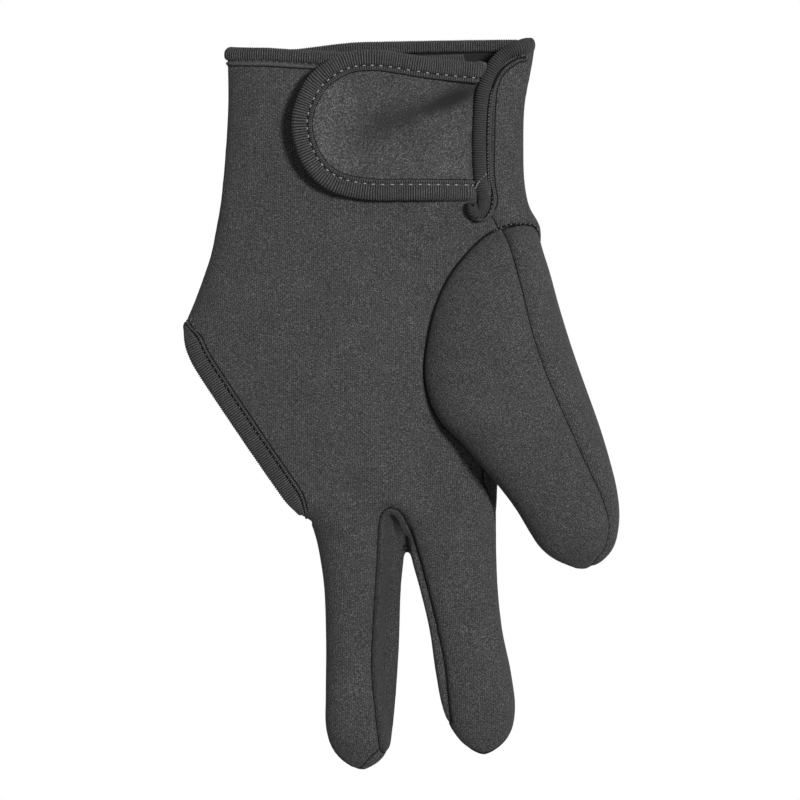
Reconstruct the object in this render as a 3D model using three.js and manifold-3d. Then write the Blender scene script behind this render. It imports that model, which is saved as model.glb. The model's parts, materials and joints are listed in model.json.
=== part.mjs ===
// A three-finger heat-resistant glove that lies palm up, in millimetres: cuff to +Y, thumb to +X, palm to +Z.
// It covers the thumb, index and middle finger. The ring and little fingers come out of a bound opening.
// The origin is on the surface it lies on, under the middle of its outline.
import * as THREE from 'three';
import { mergeVertices } from 'three/addons/utils/BufferGeometryUtils.js';
import Module from 'manifold-3d';

const wasm = await Module();
wasm.setup();

// Driving dimensions
const WALL = 2.2;
const GAP = 0.3;
const BINDING = 1.2;
const CUFF_BAND = 6.6;
const OPENING_BAND = 5.6;
const TAB_BAND = 6.2;
const TAB_THICKNESS = 2.4;
const TAB_ROOT = 25;
const TAB_ROOT_SLOPE = 4.5;
const HOOK_THICKNESS = 1;
const ROLL_RADIUS = 2.6;
const SLIT_WIDTH = 6;
const SLIT_DEPTH = 12;

// The side seam between palm and back, which climbs towards the thumb side
const SIDE_SEAM_HEIGHT = 10.5;
const SIDE_SEAM_RISE = 0.04;
const FOURCHETTE_FOOT = 4.5;

// The wrist mouth: its edge on the floor side lies further along than on the palm side
const MOUTH_EDGE = 118.9;
const MOUTH_LEAN = 0.15;
const MOUTH_SKEW = 0.02;
const HEM_FOOT = 109;
const HEM_SLOPE = 6;

// Reaches past every side of the glove
const TALL = 60;
const WIDE = 100;
const BEYOND = 130;

// How the forms are faceted
const SECTION_POINTS = 18;
const ROW_STEP = 14;
const TOP_ROUNDNESS = 2.3;
const BOTTOM_ROUNDNESS = 2.5;

// Each form is a row per section: its place along the glove, its left and right silhouette, the place of its
// crest between them, the height of the crest, the heights of the left and right silhouette, its underside.
// An underside below zero is pressed flat by the surface.
const COLUMNS = ['y', 'left', 'right', 'crest', 'top', 'leftZ', 'rightZ', 'bottom'];

const BODY = [
  [126, -56.4, 43.2, 0.5, 18.6, 9.6, 9.6, 1.3],
  [112, -56.3, 41.9, 0.5, 18.4, 9.4, 9.4, 1.3],
  [99, -56.3, 41.0, 0.5, 18.0, 9.0, 9.0, -0.2],
  [84, -57.6, 40.8, 0.5, 18.0, 8.6, 8.6, -1.2],
  [66, -59.5, 42.2, 0.5, 18.6, 8.5, 8.5, -1.2],
  [50, -62.5, 42.4, 0.5, 19.2, 8.5, 8.5, -1.2],
  [36, -67.3, 39.3, 0.5, 19.8, 8.8, 8.3, -1.2],
  [22, -73.0, 36.9, 0.5, 20.0, 9.3, 8.1, -1.2],
  [8, -77.4, 35.2, 0.5, 19.9, 9.8, 7.7, -1.2],
  [-6, -73.8, 33.8, 0.5, 19.2, 9.8, 7.2, -1.2],
  [-18, -65.5, 32.6, 0.48, 18.1, 9.4, 6.8, -1.2],
  [-28, -54.5, 32.1, 0.46, 17.0, 9.0, 6.6, -1.2],
  [-34.5, -42.5, 31.8, 0.44, 16.5, 8.2, 6.4, -1.2],
  [-38, -32.5, 31.0, 0.46, 14.2, 6.6, 5.6, -0.8],
  [-42, -27.0, 30.0, 0.48, 10.4, 4.8, 4.6, -0.2],
  [-47, -25.5, 29.0, 0.48, 3.8, 2.4, 2.4, 0.8],
];

const MIDDLE = [
  [-22, -27.0, -2.0, 0.5, 13.6, 7.6, 6.6, -1.2],
  [-30, -29.0, 0.6, 0.5, 15.8, 7.6, 6.4, -1.2],
  [-36.6, -29.8, 1.2, 0.48, 16.4, 7.6, 6.4, -1.2],
  [-46, -27.4, 1.2, 0.47, 16.2, 7.6, 6.2, -1.2],
  [-60, -25.2, 0.9, 0.46, 15.6, 7.5, 6.0, -1.2],
  [-79, -24.6, -0.2, 0.45, 15.2, 7.3, 6.0, -1.2],
  [-97, -24.6, -1.4, 0.45, 14.8, 7.2, 6.0, -1.2],
  [-107.5, -24.3, -2.5, 0.47, 13.8, 7.0, 6.2, -0.2],
  [-114, -22.4, -4.0, 0.48, 12.0, 6.8, 6.4, 1.6],
  [-117.6, -19.5, -6.5, 0.5, 10.2, 6.8, 6.6, 3.2],
  [-119.9, -16.2, -9.7, 0.5, 8.4, 6.8, 6.8, 5.0],
];

const INDEX = [
  [-22, 4.0, 30.0, 0.5, 12.6, 6.8, 6.4, -1.2],
  [-30, 2.0, 31.2, 0.5, 15.0, 6.6, 6.5, -1.2],
  [-36.6, 1.2, 31.6, 0.5, 16.4, 6.6, 6.6, -1.2],
  [-47, 2.0, 31.5, 0.5, 16.1, 6.3, 6.8, -1.2],
  [-60, 5.7, 31.8, 0.52, 15.8, 6.0, 7.0, -1.2],
  [-75, 9.3, 33.4, 0.54, 15.3, 6.0, 7.0, -1.2],
  [-89, 11.4, 36.4, 0.54, 15.0, 6.0, 7.0, -1.2],
  [-101, 14.2, 37.8, 0.54, 14.2, 6.3, 7.0, -0.6],
  [-108.6, 17.4, 36.4, 0.52, 12.2, 6.6, 6.8, 1.4],
  [-112.5, 20.6, 33.8, 0.5, 10.2, 6.8, 6.8, 3.2],
  [-114.6, 24.3, 30.5, 0.5, 8.4, 6.8, 6.8, 5.0],
];

const THUMB = [
  [59, 31.6, 46.0, 0.5, 19.6, 12.0, 9.0, 2.6],
  [51, 24.6, 46.9, 0.5, 21.6, 13.2, 9.6, 3.4],
  [44, 17.4, 48.8, 0.5, 23.4, 14.0, 10.0, 3.8],
  [33, 11.2, 51.8, 0.5, 26.2, 15.4, 10.8, 4.8],
  [20, 8.2, 55.9, 0.5, 28.6, 16.8, 11.6, 6.2],
  [6, 8.3, 60.8, 0.5, 30.0, 18.2, 12.4, 7.6],
  [-6, 13.4, 65.0, 0.5, 30.8, 20.6, 13.2, 8.4],
  [-12, 19.4, 66.9, 0.5, 31.0, 22.0, 13.6, 8.6],
  [-19, 25.3, 68.9, 0.5, 30.8, 22.4, 13.8, 8.6],
  [-27, 32.4, 70.9, 0.5, 29.8, 21.4, 13.6, 7.6],
  [-35, 38.4, 72.1, 0.5, 27.8, 18.6, 13.2, 6.2],
  [-42, 42.6, 71.8, 0.5, 25.2, 16.2, 13.0, 5.8],
  [-47.5, 46.4, 70.0, 0.5, 21.8, 14.4, 12.8, 6.6],
  [-51.2, 51.0, 67.0, 0.5, 18.2, 13.4, 13.0, 8.6],
  [-53.3, 56.0, 63.4, 0.5, 15.2, 13.2, 13.2, 11.4],
];

// Plan lines, seen from above, as points that a smooth curve passes through
const SLIT_EDGE = [
  [42, 122], [36.8, 119], [31.8, 114.6], [28.4, 108], [26.7, 98.7], [26.2, 84], [26.6, 71],
];
const SLIT_FOOT = [26.8, 66];
const CURL = [[27.4, 66.4, 0.6], [26.6, 63, 2.2], [23.6, 62.2, 3.4]];
const WRAP_FOOT = [[27.6, 65], [32.2, 59.4], [34.4, 52], [34, -10]];
const TAB_OUTLINE = [
  [28, 114.4], [10, 115.2], [-8, 117.2], [-20, 115.2], [-30.4, 107.6], [-35.6, 97], [-35.8, 87.6],
  [-31.4, 77.6], [-23.4, 70.8], [-12, 67.9], [4, 67.8], [28, 67.8],
];
const HOOK_CORNERS = [[-24, 80], [4, 80], [4, 102], [-24, 102]];
const OPENING_EDGE = [
  [-71.5, 29.6], [-70.8, 24], [-69.6, 18.8], [-65.5, 10.2], [-52.2, -9.8], [-38.8, -29.4], [-34.6, -34.2],
  [-30.6, -36.2],
];
const OPENING_FOOT = -38;
const MIDDLE_SEAM = [
  [-6.4, -114.6], [-7.8, -103], [-9.4, -88], [-9, -74], [-7.6, -53], [-7, -41], [-6.1, -36.4], [-3.8, -34.3],
];
const INDEX_SEAM = [
  [-1, -35.2], [1.4, -38], [4.1, -44.2], [7.6, -56.4], [11, -70.3], [14, -85], [15.3, -98], [16.2, -105.2],
];
const BETWEEN_FINGERS = [[14, -111], [4, -115], [-5.8, -115.6]];
const THUMB_SEAM = [
  [31, 62], [36, 51.3], [41.9, 32], [49.5, 8.4], [57.2, -12.7], [63.5, -26], [66.8, -36], [66.5, -44.2],
  [62, -49],
];
const THUMB_ROUND = [[50, -60], [-20, -60], [-20, 66]];
const THUMB_SIDE_SEAM = [[66, 9], [20, 13.6], [-6, 17.4], [-19, 19.4], [-34, 15.6], [-60, 7]];

// Solids from geometry, and back
function solid(geometry) {
  geometry.deleteAttribute('normal');
  geometry.deleteAttribute('uv');
  const merged = mergeVertices(geometry, 1e-4);
  return new wasm.Manifold(new wasm.Mesh({
    numProp: 3,
    vertProperties: merged.attributes.position.array,
    triVerts: new Uint32Array(merged.index.array),
  }));
}

function piece(name, body, colour, roughness) {
  const mesh = body.getMesh();
  const geometry = new THREE.BufferGeometry();
  geometry.setAttribute('position', new THREE.BufferAttribute(mesh.vertProperties, 3));
  geometry.setIndex(new THREE.BufferAttribute(mesh.triVerts, 1));
  geometry.computeVertexNormals();
  const material = new THREE.MeshStandardMaterial({ color: colour, roughness, metalness: 0 });
  const result = new THREE.Mesh(geometry, material);
  result.name = name;
  return result;
}

// The sections of a form at any place between its rows
function sectionReader(rows) {
  const upward = [...rows].sort((a, b) => a[0] - b[0]);
  const places = upward.map((row) => row[0]);
  const values = upward.flatMap((row) => row.slice(1));
  const curve = new THREE.CubicInterpolant(places, values, COLUMNS.length - 1);
  return (y) => {
    const found = [y, ...curve.evaluate(y)];
    const section = Object.fromEntries(COLUMNS.map((column, i) => [column, found[i]]));
    section.crestX = THREE.MathUtils.lerp(section.left, section.right, section.crest);
    return section;
  };
}

function stations(rows) {
  const places = [rows[0][0]];
  for (let i = 1; i < rows.length; i += 1) {
    const from = rows[i - 1][0];
    const to = rows[i][0];
    const steps = Math.ceil(Math.abs(to - from) / ROW_STEP);
    for (let step = 1; step <= steps; step += 1) {
      places.push(THREE.MathUtils.lerp(from, to, step / steps));
    }
  }
  return places;
}

// One point of a section: a quarter of a superellipse between each two of its four extremes
function sectionPoint(section, turn, grow) {
  const across = Math.cos(turn);
  const up = Math.sin(turn);
  const power = 2 / (up >= 0 ? TOP_ROUNDNESS : BOTTOM_ROUNDNESS);
  const side = across >= 0 ? section.right + grow : section.left - grow;
  const sideZ = across >= 0 ? section.rightZ : section.leftZ;
  const end = up >= 0 ? section.top + grow : section.bottom - grow;
  const x = section.crestX + (side - section.crestX) * Math.abs(across) ** power;
  const z = sideZ + (end - sideZ) * Math.abs(up) ** power;
  return [x, Math.max(z, -grow)];
}

// A closed form through the rows. Growing it moves its skin outwards, and its tip with it.
function form(rows, grow = 0, tipGrow = grow) {
  const read = sectionReader(rows);
  const base = rows[0][0];
  const tip = rows[rows.length - 1][0];
  const stretch = (tip - tipGrow - base) / (tip - base);
  const points = [];
  const rings = [];
  for (const y of stations(rows)) {
    const section = read(y);
    const width = section.right - section.left + 2 * grow;
    const height = section.top - Math.max(section.bottom, 0) + 2 * grow;
    if (Math.min(width, height) < 1) continue;
    rings.push(points.length / 3);
    for (let i = 0; i < SECTION_POINTS; i += 1) {
      const [x, z] = sectionPoint(section, (i / SECTION_POINTS) * 2 * Math.PI, grow);
      points.push(x, base + (y - base) * stretch, z);
    }
  }
  const faces = [];
  const next = (i) => (i + 1) % SECTION_POINTS;
  for (let r = 1; r < rings.length; r += 1) {
    for (let i = 0; i < SECTION_POINTS; i += 1) {
      const [a, b] = [rings[r - 1] + i, rings[r - 1] + next(i)];
      const [c, d] = [rings[r] + i, rings[r] + next(i)];
      faces.push(a, b, c, b, d, c);
    }
  }
  for (const [ring, flip] of [[rings[0], true], [rings[rings.length - 1], false]]) {
    for (let i = 1; i < SECTION_POINTS - 1; i += 1) {
      faces.push(ring, ring + (flip ? i + 1 : i), ring + (flip ? i : i + 1));
    }
  }
  const geometry = new THREE.BufferGeometry();
  geometry.setAttribute('position', new THREE.Float32BufferAttribute(points, 3));
  geometry.setIndex(faces);
  return solid(geometry);
}

// The height of the palm side of the hand at a place on the plan
const bodySection = sectionReader(BODY);
function palmHeight(x, y) {
  const section = bodySection(y);
  const side = x >= section.crestX ? section.right : section.left;
  const sideZ = x >= section.crestX ? section.rightZ : section.leftZ;
  const out = Math.min(Math.abs((x - section.crestX) / (side - section.crestX)), 1);
  return sideZ + (section.top - sideZ) * (1 - out ** TOP_ROUNDNESS) ** (1 / TOP_ROUNDNESS);
}

// Prisms: straight up through a plan outline, or sideways through a side outline of y and z
function prism(outline, from = -TALL, to = TALL) {
  const shape = new THREE.Shape(outline.map(([x, y]) => new THREE.Vector2(x, y)));
  const geometry = new THREE.ExtrudeGeometry(shape, { depth: to - from, bevelEnabled: false });
  return solid(geometry.translate(0, 0, from));
}

function sidePrism(outline) {
  const shape = new THREE.Shape(outline.map(([y, z]) => new THREE.Vector2(y, z)));
  const geometry = new THREE.ExtrudeGeometry(shape, { depth: 2 * WIDE, bevelEnabled: false });
  const turned = new THREE.Matrix4().makeBasis(
    new THREE.Vector3(0, 1, 0), new THREE.Vector3(0, 0, 1), new THREE.Vector3(1, 0, 0),
  );
  return solid(geometry.applyMatrix4(turned).translate(-WIDE, 0, 0));
}

function smooth(points, steps) {
  const curve = new THREE.SplineCurve(points.map(([x, y]) => new THREE.Vector2(x, y)));
  return curve.getPoints(steps).map((point) => [point.x, point.y]);
}

// A closed outline moved outwards, or inwards where grow is below zero
function grown(outline, grow) {
  const outward = THREE.ShapeUtils.area(outline.map(([x, y]) => ({ x, y }))) > 0 ? grow : -grow;
  return outline.map(([x, y], i) => {
    const [fromX, fromY] = outline[(i + outline.length - 1) % outline.length];
    const [toX, toY] = outline[(i + 1) % outline.length];
    const length = Math.hypot(toX - fromX, toY - fromY);
    return [x + ((toY - fromY) / length) * outward, y - ((toX - fromX) / length) * outward];
  });
}

// A thin sheet between two heights, over a grid of the plan
function sheet(columns, rows, low, high) {
  const points = [];
  const at = (layer, row, column) => (layer * rows.length + row) * columns.length + column;
  for (const height of [low, high]) {
    for (const y of rows) {
      for (const x of columns) points.push(x, y, height(x, y));
    }
  }
  const faces = [];
  const quad = (a, b, c, d) => faces.push(a, b, c, a, c, d);
  const lastRow = rows.length - 1;
  const lastColumn = columns.length - 1;
  const wallBetween = (r0, c0, r1, c1) => quad(at(0, r0, c0), at(0, r1, c1), at(1, r1, c1), at(1, r0, c0));
  for (let row = 0; row < lastRow; row += 1) {
    for (let column = 0; column < lastColumn; column += 1) {
      const square = [[row, column], [row, column + 1], [row + 1, column + 1], [row + 1, column]];
      quad(...square.map(([r, c]) => at(1, r, c)));
      quad(...square.map(([r, c]) => at(0, r, c)).reverse());
    }
  }
  for (let column = 0; column < lastColumn; column += 1) {
    wallBetween(0, column, 0, column + 1);
    wallBetween(lastRow, column + 1, lastRow, column);
  }
  for (let row = 0; row < lastRow; row += 1) {
    wallBetween(row + 1, 0, row, 0);
    wallBetween(row, lastColumn, row + 1, lastColumn);
  }
  const geometry = new THREE.BufferGeometry();
  geometry.setAttribute('position', new THREE.Float32BufferAttribute(points, 3));
  geometry.setIndex(faces);
  return solid(geometry);
}

function spread(from, to, steps) {
  return Array.from({ length: steps + 1 }, (_, i) => THREE.MathUtils.lerp(from, to, i / steps));
}

// A round cord along a curve in space
function roll(points, radius, sides, steps) {
  const path = new THREE.CatmullRomCurve3(points.map((point) => new THREE.Vector3(...point)));
  const round = [];
  for (let i = 0; i < sides; i += 1) {
    const turn = (i / sides) * 2 * Math.PI;
    round.push(new THREE.Vector2(Math.cos(turn) * radius, Math.sin(turn) * radius));
  }
  return solid(new THREE.ExtrudeGeometry(new THREE.Shape(round), { steps, extrudePath: path }));
}

// A large block with the origin in the middle of one face, sheared so that the face becomes a slanting cut
function block(width, depth, height, shear) {
  return solid(new THREE.BoxGeometry(width, depth, height).applyMatrix4(new THREE.Matrix4().set(...shear)));
}

// What lies outside the wrist mouth, at a distance from its edge
function beyondMouth(distance) {
  const edge = MOUTH_EDGE + distance + WIDE / 2;
  return block(2 * WIDE, WIDE, 2 * TALL, [
    1, 0, 0, 0,
    MOUTH_SKEW, 1, -MOUTH_LEAN, edge,
    0, 0, 1, 0,
    0, 0, 0, 1,
  ]);
}

// What lies above the side seam
function palmSide(grow) {
  return block(2 * WIDE, 3 * WIDE, TALL, [
    1, 0, 0, 0,
    0, 1, 0, 0,
    SIDE_SEAM_RISE, 0, 1, SIDE_SEAM_HEIGHT + TALL / 2 - grow,
    0, 0, 0, 1,
  ]);
}

// Plan regions, grown outwards where a gap or a band is wanted beside them
const slitLine = smooth(SLIT_EDGE, 12);
const [slitFootX, slitFootY] = SLIT_FOOT;
const slitRegion = (grow) => prism(grown([
  ...slitLine, SLIT_FOOT, [slitFootX - SLIT_WIDTH, slitFootY], [slitFootX - SLIT_WIDTH, BEYOND],
  [SLIT_EDGE[0][0], BEYOND],
], grow), SLIT_DEPTH);
const rootRegion = (grow) => prism(grown([
  ...slitLine, SLIT_FOOT, [WIDE, slitFootY], [WIDE, BEYOND], [SLIT_EDGE[0][0], BEYOND],
], grow));
const wrapRegion = (grow) => prism(grown([
  ...slitLine, ...WRAP_FOOT, [WIDE, WRAP_FOOT[WRAP_FOOT.length - 1][1]], [WIDE, BEYOND],
  [SLIT_EDGE[0][0], BEYOND],
], grow));
const openingRegion = (grow) => prism(grown([
  ...smooth(OPENING_EDGE, 12), [OPENING_EDGE[OPENING_EDGE.length - 1][0], -WIDE], [-WIDE, -WIDE],
  [-WIDE, OPENING_EDGE[0][1]],
], grow));
const handAbove = (y, z) => prism([[-WIDE, y], [WIDE, y], [WIDE, BEYOND], [-WIDE, BEYOND]], z);
const fourchetteRegion = (grow) => prism(grown([
  ...smooth(MIDDLE_SEAM, 12), ...smooth(INDEX_SEAM, 12), ...BETWEEN_FINGERS,
], grow), FOURCHETTE_FOOT - grow);
const tabRegion = (grow) => prism(grown(smooth(TAB_OUTLINE, 16), grow));

function thumbFrontRegion(grow) {
  const plan = grown([...smooth(THUMB_SEAM, 12), ...THUMB_ROUND], grow);
  const [[from], [to]] = [THUMB_SIDE_SEAM[0], THUMB_SIDE_SEAM[THUMB_SIDE_SEAM.length - 1]];
  const side = grown([...THUMB_SIDE_SEAM, [to, TALL], [from, TALL]], grow);
  return prism(plan).intersect(sidePrism(side));
}

// The forms of the hand, and the hollow inside them
const hand = (grow) => form(BODY, grow).add(form(MIDDLE, grow)).add(form(INDEX, grow));
const wall = (grow) => hand(grow).subtract(hand(-WALL - grow));
const shell = wall(0)
  .subtract(form(THUMB, -WALL))
  .subtract(beyondMouth(0))
  .subtract(openingRegion(0))
  .subtract(slitRegion(0));
const thumbShell = form(THUMB).subtract(form(THUMB, -WALL)).subtract(hand(GAP));

// Panels
const front = palmSide(0).subtract(wrapRegion(GAP)).subtract(fourchetteRegion(GAP));
const back = palmSide(GAP).subtract(wrapRegion(0)).add(fourchetteRegion(GAP));
const palmPanel = shell.intersect(front);
const backPanel = shell.subtract(back);
const fourchette = shell.intersect(fourchetteRegion(0));
const thumbFront = thumbShell.intersect(thumbFrontRegion(0));
const thumbBack = thumbShell.subtract(thumbFrontRegion(GAP));

// The closing tab, over the palm side of the wrist, with its root let into the roll of the slit
const overHem = (y) => BINDING * THREE.MathUtils.smoothstep(y, HEM_FOOT - HEM_SLOPE, HEM_FOOT);
const intoRoll = (x) => THREE.MathUtils.smoothstep(x, TAB_ROOT - TAB_ROOT_SLOPE, TAB_ROOT);
const tabLift = (x, y) => {
  const lying = GAP + HOOK_THICKNESS + GAP + overHem(y);
  const rooted = -(WALL + TAB_THICKNESS) / 2;
  return THREE.MathUtils.lerp(lying, rooted, intoRoll(x));
};
const tabGrid = [
  [...spread(-40, 20, 6), ...spread(TAB_ROOT - TAB_ROOT_SLOPE, TAB_ROOT, 2), 30],
  [...spread(64, HEM_FOOT - HEM_SLOPE, 4), ...spread(HEM_FOOT, 121, 2)],
];
const overPalm = (low, high) => sheet(
  ...tabGrid,
  (x, y) => palmHeight(x, y) + low(x, y),
  (x, y) => palmHeight(x, y) + high(x, y),
);
const tabLayer = (grow) => overPalm(
  (x, y) => tabLift(x, y) - grow,
  (x, y) => tabLift(x, y) + TAB_THICKNESS + grow,
);
const tab = (grow) => tabLayer(grow)
  .intersect(tabRegion(grow - BINDING))
  .subtract(rootRegion(ROLL_RADIUS / 2 - grow));

const onPalm = ([x, y, lift]) => [x, y, palmHeight(x, y) + lift];
const rollPath = [...SLIT_EDGE.slice(1).map(([x, y]) => onPalm([x, y, -WALL / 2])), ...CURL.map(onPalm)];
const slitRoll = (grow) => roll(rollPath, ROLL_RADIUS + grow, 8, 16);

// Bindings: each wraps the raw edge of a panel or of the tab, a little clear of it
const bound = (around) => around(BINDING).subtract(around(-WALL - BINDING));
const cuff = (grow) => form(BODY.slice(0, 4), grow, 0);
const cuffBinding = bound(cuff)
  .intersect(beyondMouth(BINDING - CUFF_BAND))
  .subtract(beyondMouth(BINDING))
  .subtract(cuff(GAP).subtract(cuff(-WALL - GAP)).subtract(beyondMouth(GAP)))
  .subtract(slitRegion(0))
  .subtract(slitRoll(GAP));
const openingBinding = bound(hand)
  .intersect(openingRegion(OPENING_BAND - BINDING))
  .subtract(openingRegion(-BINDING))
  .subtract(wall(GAP).subtract(openingRegion(-GAP)))
  .intersect(handAbove(OPENING_FOOT, 0));
const slitBinding = slitRoll(0)
  .subtract(wall(GAP).subtract(slitRegion(-GAP)))
  .subtract(tab(GAP))
  .subtract(beyondMouth(BINDING));
const tabBinding = overPalm(
  (x, y) => tabLift(x, y) - BINDING,
  (x, y) => tabLift(x, y) + TAB_THICKNESS + BINDING,
)
  .intersect(tabRegion(0))
  .subtract(tabRegion(-TAB_BAND))
  .subtract(tab(GAP))
  .subtract(rootRegion(ROLL_RADIUS + 2 * GAP));
const hookPatch = overPalm(() => GAP, () => GAP + HOOK_THICKNESS).intersect(prism(HOOK_CORNERS));

export default new THREE.Group().add(
  piece('palm_panel', palmPanel, 0x434447, 0.9),
  piece('back_panel', backPanel, 0x3f4043, 0.9),
  piece('finger_fourchette', fourchette, 0x47484b, 0.9),
  piece('thumb_front_panel', thumbFront, 0x434447, 0.9),
  piece('thumb_back_panel', thumbBack, 0x3f4043, 0.9),
  piece('cuff_binding', cuffBinding, 0x3a3b3e, 0.85),
  piece('slit_binding', slitBinding, 0x3a3b3e, 0.85),
  piece('finger_opening_binding', openingBinding, 0x3a3b3e, 0.85),
  piece('closure_tab', tab(0), 0x55565a, 0.95),
  piece('tab_binding', tabBinding, 0x3a3b3e, 0.85),
  piece('hook_patch', hookPatch, 0x2a2a2c, 0.7),
);
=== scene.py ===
"""The looks of a three-finger heat-resistant glove that lies palm up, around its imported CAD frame.

Lengths in the tables are in millimetres, in the frame's own axes: cuff to +Y, thumb to +X, palm to +Z.
"""

import json
import math

import bmesh
import bpy
import numpy as np
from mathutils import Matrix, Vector, noise
from mathutils.bvhtree import BVHTree
from mathutils.kdtree import KDTree

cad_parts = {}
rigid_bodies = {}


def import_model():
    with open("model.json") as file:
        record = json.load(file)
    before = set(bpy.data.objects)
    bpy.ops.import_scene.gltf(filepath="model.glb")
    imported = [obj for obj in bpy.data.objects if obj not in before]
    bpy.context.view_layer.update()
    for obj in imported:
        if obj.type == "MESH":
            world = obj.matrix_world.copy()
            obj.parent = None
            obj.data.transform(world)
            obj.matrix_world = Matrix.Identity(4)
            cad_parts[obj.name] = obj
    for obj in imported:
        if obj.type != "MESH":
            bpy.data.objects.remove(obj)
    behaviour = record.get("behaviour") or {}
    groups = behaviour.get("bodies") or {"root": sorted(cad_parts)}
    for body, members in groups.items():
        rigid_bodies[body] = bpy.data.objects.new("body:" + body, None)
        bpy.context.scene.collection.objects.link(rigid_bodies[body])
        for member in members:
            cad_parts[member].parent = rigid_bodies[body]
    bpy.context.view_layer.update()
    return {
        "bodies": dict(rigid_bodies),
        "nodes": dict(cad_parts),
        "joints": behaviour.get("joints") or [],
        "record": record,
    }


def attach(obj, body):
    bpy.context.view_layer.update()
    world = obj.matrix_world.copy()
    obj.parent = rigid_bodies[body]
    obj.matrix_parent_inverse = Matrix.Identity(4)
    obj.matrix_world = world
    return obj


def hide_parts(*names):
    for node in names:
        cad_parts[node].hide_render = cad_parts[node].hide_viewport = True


MM = 0.001
WALL = 2.2
VOXEL = 0.9
LAY_OUT_ROUNDS = 400
TAB_THICKNESS = 2.4
TAB_CELL = 0.45
HOOK_THICKNESS = 1.0
ROLL_RADIUS = 2.1
RIB_PITCH = 0.78
RIB_SAMPLES = 4
RIB_DEPTH = 0.4
SEAM_WIDTH = 1.9
SEAM_DEPTH = 0.85
DEEP_SEAM = 1.45
SEAM_PULL = 0.08
SEAM_TUCK = 0.9
# How near a line a point counts as on it, and how far the cuts look round themselves for their slope
ON_LINE = 0.12
CUT_REACH = 0.3
CUT_STEP = 0.02
# How far in each folded band's stitches and inner edge are, and how far it stands out past the raw edge
OPENING_HEM = (4.3, 5.6)
CUFF_HEM = (3.3, 4.8)
TAB_HEM = (3.9, 5.5)
HEM_OVERHANG = 1.2

SIDE_SEAM_HEIGHT = 10.5
SIDE_SEAM_RISE = 0.04
FINGER_SEAM_DROP = 5.0
TIP_SEAM_RISE = 5.5
FOURCHETTE_FOOT = 4.5
MOUTH_EDGE = 119.4
MOUTH_LEAN = 0.178
MOUTH_SKEW = 0.02
MOUTH_DIP = 0.07
MOUTH_BACK_FALL = 2.0
SLIT_DEPTH = 12.0
SLIT_WIDTH = 6.0
BEYOND = 130.0
TOP_ROUNDNESS = 2.3
BOTTOM_ROUNDNESS = 2.5
RING_POINTS = 96
OPENING_LIFT = 1.3
SKIN_SWELL = 0.15

# Each form is a row per section: its place along the glove, its left and right silhouette, the place of
# its crest between them, the height of the crest, the heights of the two silhouettes, its underside.
BODY = [
    (126, -57.4, 45.6, 0.5, 18.6, 9.6, 9.6, 1.3),
    (112, -57.2, 43.3, 0.5, 18.4, 9.4, 9.4, 1.3),
    (99, -56.9, 41.0, 0.5, 18.0, 9.0, 9.0, -0.2),
    (84, -57.7, 40.7, 0.5, 18.0, 8.6, 8.6, -1.2),
    (72, -58.8, 41.2, 0.5, 18.4, 8.5, 8.5, -1.2),
    (65, -59.6, 42.6, 0.5, 18.6, 8.5, 8.5, -1.2),
    (58.5, -60.8, 46.0, 0.5, 18.9, 8.5, 8.8, -1.2),
    (50, -62.5, 45.4, 0.5, 19.2, 8.5, 8.8, -1.2),
    (36, -67.3, 39.3, 0.5, 19.8, 8.8, 8.3, -1.2),
    (22, -73.0, 36.9, 0.5, 20.0, 9.3, 8.1, -1.2),
    (8, -77.4, 35.2, 0.5, 19.9, 9.8, 7.7, -1.2),
    (-6, -73.8, 33.8, 0.5, 19.2, 9.8, 7.2, -1.2),
    (-18, -65.5, 32.6, 0.48, 18.1, 9.4, 6.8, -1.2),
    (-28, -54.5, 32.1, 0.46, 17.0, 9.0, 6.6, -1.2),
    (-34.5, -42.5, 31.8, 0.44, 16.5, 8.2, 6.4, -1.2),
    (-38, -32.5, 31.0, 0.46, 14.2, 6.6, 5.6, -0.8),
    (-42, -27.0, 30.0, 0.48, 10.4, 4.8, 4.6, -0.2),
    (-47, -25.5, 29.0, 0.48, 3.8, 2.4, 2.4, 0.8),
]
MIDDLE = [
    (-22, -27.0, -2.0, 0.5, 13.6, 7.6, 6.6, -1.2),
    (-30, -29.0, 0.6, 0.5, 15.8, 7.6, 6.4, -1.2),
    (-36.6, -29.8, 1.2, 0.48, 16.4, 7.6, 6.4, -1.2),
    (-46, -27.4, 1.3, 0.47, 16.2, 7.6, 6.2, -1.2),
    (-53, -26.1, 0.9, 0.47, 15.9, 7.5, 6.1, -1.2),
    (-60, -25.2, 0.2, 0.46, 15.6, 7.5, 6.0, -1.2),
    (-79, -24.6, -0.7, 0.45, 15.2, 7.3, 6.0, -1.2),
    (-97, -24.6, -1.8, 0.45, 14.8, 7.2, 6.0, -1.2),
    (-107.5, -24.4, -2.8, 0.47, 13.8, 7.0, 6.2, -0.2),
    (-114, -22.4, -4.0, 0.48, 12.0, 6.8, 6.4, 1.6),
    (-117.6, -19.5, -6.5, 0.5, 10.2, 6.8, 6.6, 3.2),
    (-119.6, -16.8, -9.1, 0.5, 8.8, 6.8, 6.8, 4.6),
    (-121.0, -14.1, -11.8, 0.5, 7.3, 6.8, 6.8, 6.3),
]
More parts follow.
